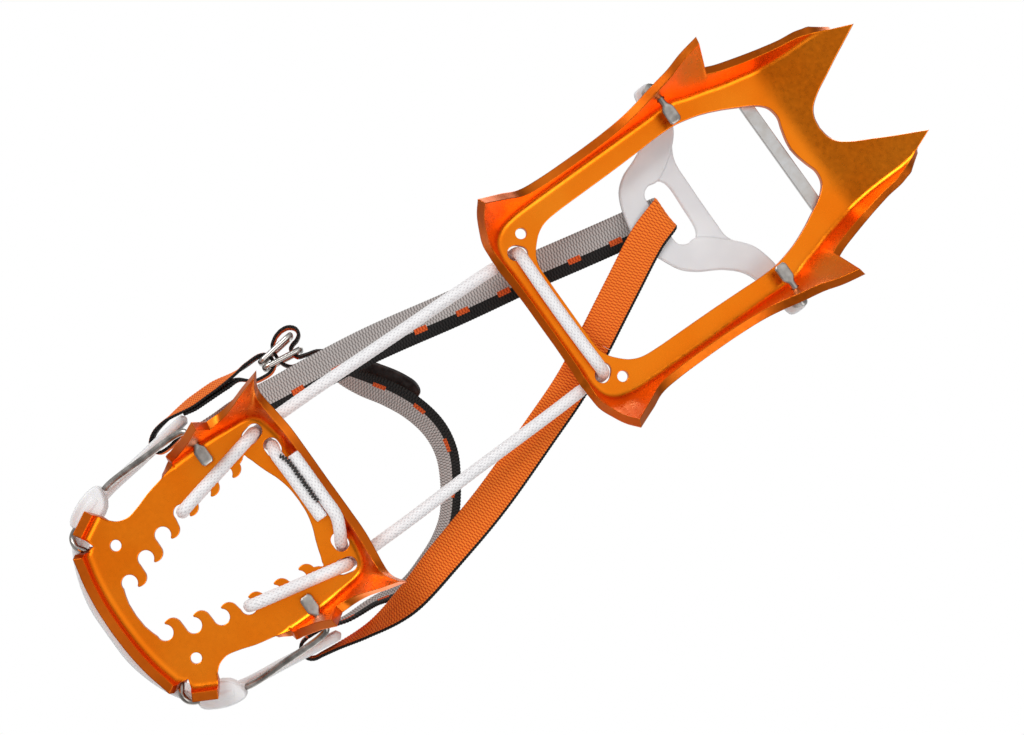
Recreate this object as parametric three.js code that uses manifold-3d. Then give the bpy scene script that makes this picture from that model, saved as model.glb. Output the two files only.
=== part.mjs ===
// One strap-on aluminium crampon: a front part and a heel part of formed sheet, tied
// together by a cord, with a plastic toe ring, a plastic heel cup and one long strap.
// Millimetres, +Z up, toes to -Y, standing on its points with the tips at z = 0.
import * as THREE from "three";
import { mergeVertices } from "three/addons/utils/BufferGeometryUtils.js";
import Module from "manifold-3d";

const wasm = await Module();
wasm.setup();

// Driving dimensions.
const POINT_LENGTH = 24;
const SHEET = 3;
const BEND_RADIUS = 2.6;
const PLATE_BOTTOM = POINT_LENGTH;
const PLATE_TOP = PLATE_BOTTOM + SHEET;
const GAP = 0.3;
const CORD_RADIUS = 2.15;
const CORD_CLEARANCE = 0.2;
const CORD_BELOW = PLATE_BOTTOM - GAP - CORD_RADIUS;
const CORD_ABOVE = PLATE_TOP + GAP + CORD_RADIUS;
const STRAP_WIDTH = 12.5;
const STRAP_THICKNESS = 1.2;
const WIRE_RADIUS = 1.15;
const SMALL_HOLE_RADIUS = 1.9;
const CORD_SLOT_RADIUS = 2.6;
const HOOK_RADIUS = 2.75;
const RING_BOTTOM = 32;
const RING_THICKNESS = 3.5;
const TOE_PIVOT = { y: -89.5, z: PLATE_BOTTOM - 6.4 };
const DIP_START = -121;
const DIP_SLOPE = 0.42;
const DIP_BLEND = 7;
const CUP_BOTTOM = PLATE_TOP + 0.5;
// Y of the middle of the whole length, which is moved to the origin at the end.
const MIDDLE_Y = 2.9;

// Materials.
function plain(color, roughness, metalness) {
  return new THREE.MeshStandardMaterial({ color, roughness, metalness });
}
const orangeMetal = () => plain(0xdd6410, 0.35, 0.8);
const steel = () => plain(0x9a958f, 0.3, 1.0);
const whitePlastic = () => plain(0xe9e9e7, 0.45, 0.0);
const whiteCord = () => plain(0xefeef0, 0.9, 0.0);
const greyWeb = () => plain(0xaaa3a0, 0.9, 0.0);
const orangeWeb = () => plain(0xe8641c, 0.9, 0.0);
const blackTrim = () => plain(0x1d1c1c, 0.8, 0.0);

const vec = (x, y, z) => new THREE.Vector3(x, y, z);
const onSide = (side, points) => points.map(([x, ...rest]) => [side * x, ...rest]);

// Solids: closed geometries are merged, joined and cut, then turned back into a geometry.
function toSolid(geometry) {
  const bare = geometry.index ? geometry.toNonIndexed() : geometry.clone();
  bare.deleteAttribute("normal");
  bare.deleteAttribute("uv");
  const merged = mergeVertices(bare, 1e-4);
  return new wasm.Manifold(new wasm.Mesh({
    numProp: 3,
    vertProperties: new Float32Array(merged.attributes.position.array),
    triVerts: new Uint32Array(merged.index.array),
  }));
}

function toGeometry(solid) {
  const mesh = solid.getMesh();
  const geometry = new THREE.BufferGeometry();
  geometry.setAttribute("position", new THREE.BufferAttribute(mesh.vertProperties, 3));
  geometry.setIndex(new THREE.BufferAttribute(mesh.triVerts, 1));
  geometry.computeVertexNormals();
  return geometry;
}

function outlineShape(points, holes = []) {
  const shape = new THREE.Shape(points.map(([x, y]) => new THREE.Vector2(x, y)));
  for (const hole of holes) {
    shape.holes.push(new THREE.Path(hole.map(([x, y]) => new THREE.Vector2(x, y))));
  }
  return shape;
}

// A flat plate standing between two heights.
function plate(points, bottom, top, holes = []) {
  const shape = outlineShape(points, holes);
  const geometry = new THREE.ExtrudeGeometry(shape, { depth: top - bottom, bevelEnabled: false });
  return geometry.translate(0, 0, bottom);
}

// A plate whose outline is drawn in Y and Z and which runs along X.
function sidePlate(points, left, right) {
  const swapped = plate(points, left, right);
  const turn = new THREE.Matrix4().makeBasis(vec(0, 1, 0), vec(0, 0, 1), vec(1, 0, 0));
  return swapped.applyMatrix4(turn);
}

function circle(cx, cy, radius, sides = 16) {
  const points = [];
  for (let i = 0; i < sides; i += 1) {
    const angle = (2 * Math.PI * i) / sides;
    points.push([cx + radius * Math.cos(angle), cy + radius * Math.sin(angle)]);
  }
  return points;
}

// A round tube along a smooth route.
function tube(route, radius, steps, sides = 8) {
  const path = new THREE.CatmullRomCurve3(route.map((p) => vec(...p)), false, "centripetal");
  const shape = outlineShape(circle(0, 0, radius, sides));
  return new THREE.ExtrudeGeometry(shape, { steps, extrudePath: path, bevelEnabled: false });
}

// Joins a grid of cross-section loops into a closed skin with flat ends.
function skinLoops(loops, closed) {
  const count = loops[0].length;
  const positions = loops.flat().flatMap((p) => [p.x, p.y, p.z]);
  const index = [];
  const spans = closed ? loops.length : loops.length - 1;
  for (let i = 0; i < spans; i += 1) {
    const here = i * count;
    const next = ((i + 1) % loops.length) * count;
    for (let j = 0; j < count; j += 1) {
      const k = (j + 1) % count;
      index.push(here + j, next + j, next + k, here + j, next + k, here + k);
    }
  }
  if (!closed) {
    const last = (loops.length - 1) * count;
    for (let j = 1; j < count - 1; j += 1) {
      index.push(0, j, j + 1);
      index.push(last, last + j + 1, last + j);
    }
  }
  const geometry = new THREE.BufferGeometry();
  geometry.setAttribute("position", new THREE.Float32BufferAttribute(positions, 3));
  geometry.setIndex(index);
  return geometry;
}

// A flat strap. Each route point is [x, y, z, ax, ay, az]: where the strap's middle is, and
// the direction across its width there.
function strap(route, steps) {
  const path = new THREE.CatmullRomCurve3(route.map((p) => vec(p[0], p[1], p[2])), false, "centripetal");
  const across = new THREE.CatmullRomCurve3(route.map((p) => vec(p[3], p[4], p[5])), false, "centripetal");
  const loops = [];
  for (let i = 0; i <= steps; i += 1) {
    const t = i / steps;
    const middle = path.getPoint(t);
    const along = path.getTangent(t);
    const wide = across.getPoint(t);
    wide.addScaledVector(along, -wide.dot(along)).normalize().multiplyScalar(STRAP_WIDTH / 2);
    const thick = along.clone().cross(wide).normalize().multiplyScalar(STRAP_THICKNESS / 2);
    loops.push([
      middle.clone().add(wide).sub(thick),
      middle.clone().sub(wide).sub(thick),
      middle.clone().sub(wide).add(thick),
      middle.clone().add(wide).add(thick),
    ]);
  }
  return skinLoops(loops, false);
}

// Formed sheet. The inner face is flat up to the bend line, then turns down round the bend
// radius and runs straight to the rim. A station holds one radial cut through it: the edge
// of the central opening, the bend line, the rim as seen from above, and the rim's depth.
function dipAt(y) {
  const past = Math.max(0, DIP_START - y);
  const eased = past < DIP_BLEND ? (past * past) / (2 * DIP_BLEND) : past - DIP_BLEND / 2;
  const slope = DIP_SLOPE * Math.min(1, past / DIP_BLEND);
  return { drop: DIP_SLOPE * eased, slope };
}

function stationRows({ hole, bend, rim, depth = 0 }, dips) {
  const rows = [];
  const addRow = (x, y, down, out, angle) => {
    const { drop, slope } = dips ? dipAt(y) : { drop: 0, slope: 0 };
    const normal = vec(Math.sin(angle) * out[0], Math.sin(angle) * out[1], Math.cos(angle));
    normal.y -= slope * Math.cos(angle);
    rows.push({ point: vec(x, y, PLATE_BOTTOM - down - drop), normal: normal.normalize() });
  };
  const between = (from, to, t) => [from[0] + (to[0] - from[0]) * t, from[1] + (to[1] - from[1]) * t];
  const flatRows = bend ? 3 : 8;
  const flatEnd = bend ?? rim;
  for (let i = 0; i < flatRows; i += 1) {
    const [x, y] = between(hole, flatEnd, i / (bend ? flatRows : flatRows - 1));
    addRow(x, y, 0, [0, 0], 0);
  }
  if (!bend) {
    return rows;
  }
  const reach = Math.hypot(rim[0] - bend[0], rim[1] - bend[1]);
  const out = [(rim[0] - bend[0]) / reach, (rim[1] - bend[1]) / reach];
  const toRim = Math.hypot(reach, BEND_RADIUS - depth);
  const flare = toRim > BEND_RADIUS
    ? Math.atan2(reach, BEND_RADIUS - depth) - Math.acos(BEND_RADIUS / toRim)
    : Math.asin(reach / BEND_RADIUS);
  for (let i = 0; i < 4; i += 1) {
    const angle = (flare * i) / 3;
    const away = BEND_RADIUS * Math.sin(angle);
    const down = BEND_RADIUS * (1 - Math.cos(angle));
    addRow(bend[0] + out[0] * away, bend[1] + out[1] * away, down, out, angle);
  }
  const rimDown = toRim > BEND_RADIUS ? depth : BEND_RADIUS * (1 - Math.cos(flare)) + 0.1;
  const rimAway = toRim > BEND_RADIUS ? reach : reach + 0.1;
  addRow(bend[0] + out[0] * rimAway, bend[1] + out[1] * rimAway, rimDown, out, flare);
  return rows;
}

// The half-list of stations runs from the middle of the front edge to the middle of the
// rear edge on +X; the other half is its mirror image.
function formedSheet(half, dips) {
  const mirrored = half.slice(1, -1).reverse().map((station) => ({
    hole: [-station.hole[0], station.hole[1]],
    bend: station.bend && [-station.bend[0], station.bend[1]],
    rim: [-station.rim[0], station.rim[1]],
    depth: station.depth,
  }));
  const loops = [...half, ...mirrored].map((station) => {
    const rows = stationRows(station, dips);
    const inner = rows.map(({ point }) => point);
    const outer = rows.map(({ point, normal }) => point.clone().addScaledVector(normal, SHEET));
    return [...inner, ...outer.reverse()];
  });
  return toSolid(skinLoops(loops, true));
}

// Front part: crescent and front points, side point, waist, rear-corner point, crossbar.
const FRONT_STATIONS = [
  { hole: [0, -117.8], rim: [0, -129] },
  { hole: [3.2, -118.2], rim: [4, -129.6] },
  { hole: [7.5, -119.3], rim: [7, -131.2] },
  { hole: [11, -120.4], rim: [10, -134.8] },
  { hole: [14, -120.2], rim: [13, -140] },
  { hole: [16, -119.4], rim: [16.2, -145.6] },
  { hole: [17.6, -118], rim: [19, -150.8] },
  { hole: [18.6, -116.8], rim: [21.8, -156] },
  { hole: [19.6, -115.3], rim: [24.6, -150] },
  { hole: [20.4, -114], bend: [25.3, -143.2], rim: [27.2, -144], depth: 1.4 },
  { hole: [21.3, -112.2], bend: [25.5, -137.5], rim: [29, -138.5], depth: 3.6 },
  { hole: [22.2, -110.4], bend: [26, -130], rim: [30, -132], depth: 5.2 },
  { hole: [23.2, -108.5], bend: [26.9, -122.5], rim: [31.6, -124.5], depth: 6.8 },
  { hole: [24.3, -106.3], bend: [28.3, -115.5], rim: [33.3, -117], depth: 7.8 },
  { hole: [25.3, -104], bend: [29.8, -108.8], rim: [35.2, -110.2], depth: 8.4 },
  { hole: [26, -102.4], bend: [30.9, -105.2], rim: [36.6, -106.6], depth: 9 },
  { hole: [26.6, -100.8], bend: [31.6, -102.5], rim: [45.4, -106.8], depth: POINT_LENGTH },
  { hole: [27.3, -98.8], bend: [32.8, -98], rim: [44, -100], depth: 20 },
  { hole: [28.3, -95], bend: [34.2, -93.6], rim: [42.2, -94.5], depth: 16.5 },
  { hole: [29.2, -90.5], bend: [34.6, -89], rim: [41, -88.5], depth: 13.2 },
  { hole: [29.5, -84], bend: [34.5, -83], rim: [39.6, -82], depth: 10.2 },
  { hole: [29.2, -76], bend: [34.4, -75], rim: [38.4, -74.5], depth: 8 },
  { hole: [28.8, -64], bend: [34.3, -64], rim: [37.7, -64], depth: 7 },
  { hole: [28.6, -52], bend: [34.2, -52], rim: [37.5, -52], depth: 6.8 },
  { hole: [28.4, -41], bend: [34.1, -41], rim: [37.7, -40.5], depth: 7.4 },
  { hole: [28, -36], bend: [34, -34], rim: [38.4, -33], depth: 9.6 },
  { hole: [27.2, -33], bend: [33.8, -28], rim: [40.5, -26.5], depth: 15.5 },
  { hole: [25.8, -30.4], bend: [33, -22.8], rim: [43, -18.6], depth: POINT_LENGTH },
  { hole: [24.6, -29], bend: [31.6, -19.8], rim: [39.4, -16.2], depth: 17.5 },
  { hole: [23.3, -27.7], bend: [30, -18.2], rim: [35, -14.8], depth: 11 },
  { hole: [21.8, -26.4], bend: [28, -17.4], rim: [31, -14.1], depth: 5 },
  { hole: [20, -25.2], bend: [25, -17], rim: [26.3, -14.4], depth: 2.4 },
  { hole: [17, -24.2], bend: [19, -17], rim: [19.3, -14.9], depth: 1.4 },
  { hole: [9, -24], bend: [9.5, -17], rim: [9.5, -15.1], depth: 1.2 },
  { hole: [0, -24], bend: [0, -17], rim: [0, -15.1], depth: 1.2 },
];
const FRONT_CORD_SLOT = [[25.2, -20.2], [24, -21.4]];
const FRONT_SMALL_HOLE = [29.4, -25.6];

// Heel part: front crossbar, front point, saddle, rear point, waist, corner tab, rear lip.
const HEEL_STATIONS = [
  { hole: [0, 86.3], bend: [0, 80.6], rim: [0, 77], depth: 3.6 },
  { hole: [5, 86.6], bend: [6, 80.6], rim: [6.3, 77], depth: 3.8 },
  { hole: [10, 87.8], bend: [13, 80.7], rim: [13.5, 77.1], depth: 4.6 },
  { hole: [14, 89.4], bend: [20, 81], rim: [20.6, 77.3], depth: 6.6 },
  { hole: [17.5, 90.6], bend: [24.5, 81.6], rim: [26.4, 77.7], depth: 8.6 },
  { hole: [19.5, 91.2], bend: [28, 82.6], rim: [31.4, 78], depth: 10.5 },
  { hole: [21, 91.8], bend: [29.8, 84.2], rim: [35.2, 77.8], depth: 13.5 },
  { hole: [22.5, 92.3], bend: [30.7, 86], rim: [40, 74.8], depth: POINT_LENGTH },
  { hole: [20, 95], bend: [31.1, 88.6], rim: [38.3, 81.5], depth: 18 },
  { hole: [16, 97], bend: [31.2, 91.6], rim: [36.4, 87.6], depth: 13 },
  { hole: [14, 99], bend: [31.2, 94.4], rim: [35.6, 92.4], depth: 9.8 },
  { hole: [13, 101], bend: [31.3, 97], rim: [35.3, 96.2], depth: 9.4 },
  { hole: [12.5, 104], bend: [31.4, 99.8], rim: [37.1, 99.4], depth: POINT_LENGTH },
  { hole: [12, 107], bend: [31.5, 104], rim: [35.4, 104], depth: 17.5 },
  { hole: [11.5, 111], bend: [31.5, 109], rim: [34.3, 109.4], depth: 9 },
  { hole: [11, 115], bend: [31.4, 113.5], rim: [33, 114], depth: 3 },
  { hole: [10, 119.5], rim: [32, 118.6] },
  { hole: [9, 125], rim: [30.6, 125] },
  { hole: [7, 131], rim: [28.8, 130.5] },
  { hole: [6, 136], rim: [27.9, 135] },
  { hole: [5, 140], rim: [29, 138.6] },
  { hole: [4.6, 142.5], rim: [30.8, 140.6] },
  { hole: [4.2, 144], bend: [32.4, 141.8], rim: [34.9, 143.2], depth: 6 },
  { hole: [3.6, 146.2], bend: [28.4, 149], rim: [30.9, 150.5], depth: 6 },
  { hole: [3.2, 147.2], rim: [26.6, 149.4] },
  { hole: [2.6, 148], bend: [24, 151.2], rim: [25.4, 153.8], depth: 7 },
  { hole: [2, 148.6], bend: [17, 152.8], rim: [17.8, 155.2], depth: 7 },
  { hole: [1, 149], bend: [8.5, 153.9], rim: [9, 156.3], depth: 7 },
  { hole: [0, 149], bend: [0, 154.2], rim: [0, 156.6], depth: 7 },
];
const HEEL_SMALL_HOLE = [22.7, 143.4];
const HEEL_CORD_SLOT_OUTER = [[27, 85], [26.4, 87.4]];
const HEEL_CORD_SLOT_INNER = [[20, 83.2], [18.4, 83.2]];
const HOOK_CENTRES = [[10, 146.8], [13.5, 137.9], [16.6, 129], [19, 119.8], [20.3, 110.5], [21.2, 101.2]];

const polar = ([cx, cy], radius, degrees) => {
  const angle = (degrees * Math.PI) / 180;
  return [cx + radius * Math.cos(angle), cy + radius * Math.sin(angle)];
};

// The heel opening: a curved front edge, a row of open hooks down each side and a straight
// rear edge. Each hook is a notch that is open to the rear, under a curled lobe with a
// rounded tip.
function hookOpening() {
  const lobeRadius = 3.1;
  const tipRadius = 0.5;
  const right = [[0, 151.3], [4.5, 151], [7.6, 150.2]];
  for (const centre of HOOK_CENTRES) {
    const lobe = [centre[0], centre[1] - 3];
    for (const degrees of [100, 55, 10, -35, -80, -110, -139]) {
      right.push(polar(centre, HOOK_RADIUS, degrees));
    }
    right.push(polar(polar(centre, HOOK_RADIUS + tipRadius, -139), tipRadius, 100));
    for (const degrees of [160, 195, 230, 265]) {
      right.push(polar(lobe, lobeRadius, degrees));
    }
  }
  right.push([22.3, 92.2]);
  right.push([20, 91.5], [14, 89.4], [10, 87.8], [5, 86.6], [0, 86.3]);
  const left = right.slice(1, -1).reverse().map(([x, y]) => [-x, y]);
  return [...right, ...left];
}

// A cord slot is two holes run together.
function cordSlot(solid, side, ends) {
  return ends.reduce((cut, [x, y]) => bore(cut, [side * x, y], CORD_SLOT_RADIUS), solid);
}

function cordPassage(route, steps) {
  return toSolid(tube(route, CORD_RADIUS + CORD_CLEARANCE, steps));
}

function bore(solid, [x, y], radius) {
  const drill = plate(circle(x, y, radius, 16), PLATE_BOTTOM - 5, PLATE_TOP + 5);
  return solid.subtract(toSolid(drill));
}

// Wires. Each is a rod with its inner end flattened, through a hole in a flange.
const toeWireRoute = (side) => onSide(side, [
  [35.4, TOE_PIVOT.y, TOE_PIVOT.z], [40, TOE_PIVOT.y, TOE_PIVOT.z], [43.4, TOE_PIVOT.y, TOE_PIVOT.z],
  [44.5, TOE_PIVOT.y, TOE_PIVOT.z + 1.4], [44.4, TOE_PIVOT.y, TOE_PIVOT.z + 8],
  [44.4, TOE_PIVOT.y, RING_BOTTOM + RING_THICKNESS + 1.4],
]);
const HEAD_LENGTH = 7;
const SIDE_WIRE_PIVOT = { y: 103, z: PLATE_BOTTOM - 3.8 };
const sideWireRoute = (side) => onSide(side, [
  [32.8, SIDE_WIRE_PIVOT.y, SIDE_WIRE_PIVOT.z], [38, SIDE_WIRE_PIVOT.y, SIDE_WIRE_PIVOT.z],
  [39.9, SIDE_WIRE_PIVOT.y + 0.5, SIDE_WIRE_PIVOT.z + 0.3], [40.8, 106.5, 22], [41, 120, 28.2],
  [41, 134, 34.6], [40.2, 138, 36], [39, 143, 37.2],
]);
const REAR_WIRE_ROUTE = [
  [35, 148.4, 33], [34.6, 151.4, 28.6], [32.6, 153.6, 25.6], [29.6, 154, 24.6], [27.2, 152.6, 25.4],
  [25.4, 151.6, 27.8], [22, 152, 29], [14, 153.4, 29], [0, 153.8, 29],
];

function flattenedWire(route, steps) {
  const [x, y, z] = route[0];
  const head = new THREE.BoxGeometry(HEAD_LENGTH, 4.4, 1.5);
  head.translate(x - Math.sign(x) * (HEAD_LENGTH / 2 - 1), y, z);
  return toSolid(tube(route, WIRE_RADIUS, steps)).add(toSolid(head));
}

function clearance(route, steps) {
  return toSolid(tube(route, WIRE_RADIUS + GAP, steps));
}

function frontFrame() {
  let solid = formedSheet(FRONT_STATIONS, true);
  for (const side of [1, -1]) {
    solid = cordSlot(solid, side, FRONT_CORD_SLOT);
    solid = bore(solid, [side * FRONT_SMALL_HOLE[0], FRONT_SMALL_HOLE[1]], SMALL_HOLE_RADIUS);
    solid = solid.subtract(clearance(toeWireRoute(side), 14));
  }
  return toGeometry(solid.subtract(cordPassage(frontCordRoute(), 48)));
}

function heelFrame() {
  let solid = formedSheet(HEEL_STATIONS, false);
  solid = solid.subtract(toSolid(plate(hookOpening(), PLATE_BOTTOM - 1, PLATE_TOP + 1)));
  for (const side of [1, -1]) {
    solid = bore(solid, [side * HEEL_SMALL_HOLE[0], HEEL_SMALL_HOLE[1]], SMALL_HOLE_RADIUS);
    solid = cordSlot(solid, side, HEEL_CORD_SLOT_OUTER);
    solid = cordSlot(solid, side, HEEL_CORD_SLOT_INNER);
    solid = solid.subtract(clearance(sideWireRoute(side), 24));
    solid = solid.subtract(cordPassage(linkCordRoute(side), 76));
  }
  solid = solid.subtract(clearance(rearWireRoute(), 48));
  return toGeometry(solid);
}

// The toe ring: a curved band with a strap slot and an arm to each side.
const RING_OUTLINE = [
  [-46.6, -92.4], [-44.6, -93.6], [-38, -92.2], [-30, -91.2], [-24.5, -87], [-19.5, -84.6],
  [-10, -84], [6, -83.8], [11.5, -84], [15, -86], [20, -89.8], [28, -92], [38, -92.4],
  [44.6, -93.6], [46.6, -92.4], [47, -89.6], [46.4, -86.8], [42, -85.6], [34, -84.6], [26, -82],
  [20.4, -76.6], [15.6, -68.6], [12, -64.6], [7.4, -62], [-3, -58], [-8.5, -58], [-15.6, -59.6],
  [-22, -62.6], [-25.7, -67], [-28, -73], [-30.4, -78], [-34, -83.4], [-42, -85.6], [-46.4, -86.8],
  [-47, -89.6],
];
const RING_SLOT = [
  [-15, -77.4], [-5, -77.4], [3.6, -76.6], [5.8, -75], [5.8, -71.4], [4, -68.8], [-3, -68.4],
  [-12, -68.4], [-16, -69], [-17.8, -71.6], [-17.4, -75.6],
];

function toeRing() {
  const body = toSolid(plate(RING_OUTLINE, RING_BOTTOM, RING_BOTTOM + RING_THICKNESS, [RING_SLOT]));
  const cut = body.subtract(clearance(toeWireRoute(1), 14)).subtract(clearance(toeWireRoute(-1), 14));
  return toGeometry(cut);
}

// The heel cup: a wall bent round the heel, with a lug and a slotted arm to each side.
const CUP_OUTER_HALF = [
  [0, 163], [11, 162.6], [21, 160.2], [29.5, 156.4], [35.3, 151.8], [38.8, 146.2], [41.2, 139],
  [43.8, 122], [46.8, 101],
];
const CUP_INNER_HALF = [
  [43.8, 101], [40.8, 122], [38.2, 138], [36, 144.6], [33, 149.4], [27.8, 153.4], [20, 157],
  [10.6, 159.6], [0, 160],
];
const CUP_SIDE_VIEW = [
  [101.6, 45], [102.4, 41.8], [104.4, 40], [114, 38.6], [126, 37.6], [134, 37], [137.6, 34], [140, CUP_BOTTOM],
  [165, CUP_BOTTOM], [165, 51], [150, 50.4], [136, 52.6], [124, 58], [108, 58.4], [104.4, 57.2],
  [102.4, 55.4], [101.6, 52.4],
];
const ARM_SLOT = { front: 113.6, rear: 119.6, bottom: 41.6, top: 55.6 };

function heelCup() {
  const mirror = (points) => points.slice().reverse().map(([x, y]) => [-x, y]);
  const outer = [...mirror(CUP_OUTER_HALF), ...CUP_OUTER_HALF.slice(1)];
  const inner = [...CUP_INNER_HALF, ...mirror(CUP_INNER_HALF).slice(1)];
  const wall = toSolid(plate([...outer, ...inner], CUP_BOTTOM, 60));
  let solid = wall;
  for (const side of [1, -1]) {
    const lug = plate(onSide(side, [
      [35.2, 139.4], [42.4, 137.4], [43, 140.2], [41, 147], [37, 152], [32, 149.4],
    ]), CUP_BOTTOM, 41);
    solid = solid.add(toSolid(lug));
  }
  solid = solid.intersect(toSolid(sidePlate(CUP_SIDE_VIEW, -60, 60)));
  const slot = new THREE.BoxGeometry(120, ARM_SLOT.rear - ARM_SLOT.front, ARM_SLOT.top - ARM_SLOT.bottom);
  slot.translate(0, (ARM_SLOT.rear + ARM_SLOT.front) / 2, (ARM_SLOT.top + ARM_SLOT.bottom) / 2);
  solid = solid.subtract(toSolid(slot));
  for (const side of [1, -1]) {
    solid = solid.subtract(clearance(sideWireRoute(side), 24));
  }
  return toGeometry(solid.subtract(clearance(rearWireRoute(), 48)));
}

function rearWireRoute() {
  const left = REAR_WIRE_ROUTE.map(([x, y, z]) => [-x, y, z]);
  return [...left, ...REAR_WIRE_ROUTE.slice(0, -1).reverse()];
}

// Cord. One length of it runs under the front crossbar, back along both sides to the hooks,
// forward under the heel plate, and meets itself, sewn side by side, under its crossbar.
const CORD_JOIN_Y = -12.4;
const FRONT_CORD_ROUTE = [
  [25.3, CORD_JOIN_Y, CORD_ABOVE], [25.2, -17.4, CORD_ABOVE - 0.2], [25, -20.6, PLATE_TOP - 0.4],
  [24, -21, PLATE_BOTTOM - 0.6], [20.4, -20.8, CORD_BELOW], [12, -20.6, CORD_BELOW], [0, -20.5, CORD_BELOW],
];
const sewnEndRoute = (side) => (side > 0
  ? [[16.4, 81.2, 21.1], [11.6, 79.2, 19.5], [4, 79, 19.3], [-13.5, 79, 19.3]]
  : [[16.4, 83.5, 21.1], [10, 83.4, 20.3], [4, 83.4, 20.3], [-9.5, 83.4, 20.3]]);
const linkCordRoute = (side) => onSide(side, [
  [25.3, CORD_JOIN_Y + GAP, CORD_ABOVE], [25.7, 0, CORD_ABOVE], [26.3, 34, CORD_ABOVE],
  [27, 68, CORD_ABOVE], [26.6, 84, CORD_ABOVE], [22.6, 104, CORD_ABOVE], [20.2, 114.6, CORD_ABOVE],
  [19, 119.3, PLATE_TOP - 1], [19.2, 118.4, PLATE_BOTTOM - 1.6], [20.6, 112.4, CORD_BELOW],
  [23.6, 98.6, CORD_BELOW], [25.8, 88.8, CORD_BELOW + 0.2], [26.7, 85.8, PLATE_BOTTOM + 0.6],
  [26, 85.1, PLATE_TOP + 1.4], [23.2, 84.3, CORD_ABOVE + 0.3], [20.3, 83.3, PLATE_TOP + 1.4],
  [19.4, 83, PLATE_BOTTOM + 0.6], ...sewnEndRoute(side),
]);

function spliceStitching() {
  return new THREE.BoxGeometry(20, 1.5, 0.8).translate(-4, 81.8, 17.5);
}

function frontCordRoute() {
  return [...FRONT_CORD_ROUTE, ...onSide(-1, FRONT_CORD_ROUTE.slice(0, -1)).reverse()];
}

// Strap. One webbing: sewn round the buckle rings, through the left arm, forward to the toe
// ring, round it, back through the right arm, round the ankle and through the rings.
const ARM_Z = 48.6;
const BUCKLE_Z = ARM_Z + 0.4;
const TOE_SPLIT_Y = -26;
const ABOVE_RING = RING_BOTTOM + RING_THICKNESS + GAP + STRAP_THICKNESS / 2;
const BELOW_RING = RING_BOTTOM - GAP - STRAP_THICKNESS / 2;
const TOE_FOLD_ROUTE = [
  [-16.6, TOE_SPLIT_Y, 37, -0.98, -0.17, 0], [-12.8, -44, 36.6, -0.98, -0.17, 0],
  [-9.6, -60, ABOVE_RING, -1, -0.12, 0], [-8, -68.6, ABOVE_RING, -1, 0, 0],
  [-7.4, -70.8, RING_BOTTOM + 2.9, -1, 0, 0], [-6.8, -70.9, RING_BOTTOM + 0.5, -1, 0, 0],
  [-6, -68.8, BELOW_RING, -1, 0, 0], [-3.6, -61.4, BELOW_RING, -1, 0.1, 0],
  [5.2, -44, 31.9, -0.92, 0.39, 0], [14.6, TOE_SPLIT_Y, 32.9, -0.92, 0.39, 0],
];
const LEFT_RUN_ROUTE = [
  [-41.2, 106.6, ARM_Z, 0.06, 0.02, 1], [-40.6, 100, ARM_Z, -0.1, 0, 1], [-37.8, 90, 46, -0.6, 0, 0.8],
  [-34, 76, 42.2, -0.97, -0.1, 0.2], [-32, 60, 40.6, -0.98, -0.17, 0.05],
  [-28.6, 36, 39.4, -0.98, -0.17, 0], [-22, 4, 38, -0.98, -0.17, 0],
  [-16.7, TOE_SPLIT_Y + GAP, 37, -0.98, -0.17, 0],
];
const RIGHT_RUN_ROUTE = [
  [14.8, TOE_SPLIT_Y + GAP, 32.9, -0.92, 0.39, 0], [22, -11, 33.7, -0.92, 0.39, 0],
  [29, 8, 34.6, -0.93, 0.36, 0], [38, 34, 36.4, -0.95, 0.3, 0.05], [44.4, 58, 38.4, -0.93, 0.2, 0.3],
  [49, 76, 41.6, -0.75, 0.1, 0.6], [49.8, 92, 46.2, -0.3, 0, 0.95], [48.4, 104, ARM_Z, -0.08, 0, 1],
  [47.4, 110.4, ARM_Z, -0.02, 0, 1], [46.9, 113.4, ARM_Z, 0, 0, 1], [45.6, 115, ARM_Z, 0, 0, 1],
  [43.6, 115.6, ARM_Z, 0, 0, 1], [41.4, 115.2, ARM_Z, 0, 0, 1], [40.1, 113.8, ARM_Z, 0, 0, 1],
  [39.6, 111.9, ARM_Z, 0, 0, 1],
];
const ANKLE_ROUTE = [
  [39.6, 110.9, ARM_Z, 0, 0, 1], [40.1, 106, ARM_Z + 0.6, 0, 0, 1], [42.6, 97, 51.4, -0.1, 0, 1],
  [43.6, 86, 55.7, -0.2, 0, 0.97], [45.6, 74, 55, -0.37, 0.08, 0.92], [43, 63.5, 54, -0.41, 0.15, 0.9],
  [39.5, 55, 52.6, -0.4, 0.24, 0.88], [34.5, 48, 52, -0.37, 0.32, 0.87],
  [24.6, 40.4, 51.5, -0.3, 0.44, 0.85], [16, 36, 51.5, -0.21, 0.56, 0.8], [7, 34.7, 51.5, -0.03, 0.65, 0.76],
  [-3, 36.6, 51.5, 0.2, 0.64, 0.74], [-12, 40.7, 51.5, 0.34, 0.58, 0.73], [-19, 45.2, 51.5, 0.38, 0.54, 0.76],
  [-26, 49.4, 51, 0.32, 0.36, 0.87], [-33, 52.2, 50, 0.15, 0.15, 1], [-36.8, 55.4, BUCKLE_Z + 0.3, 0, 0, 1],
  [-37.6, 59.4, BUCKLE_Z + 0.1, 0, 0, 1], [-38.6, 62.4, BUCKLE_Z, 0, 0, 1], [-41, 64.1, BUCKLE_Z, 0, 0, 1],
  [-44.4, 64.5, BUCKLE_Z, 0, 0, 1], [-48, 63.6, BUCKLE_Z, 0, 0, 1], [-50, 61, BUCKLE_Z, 0, 0, 1],
];
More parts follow.
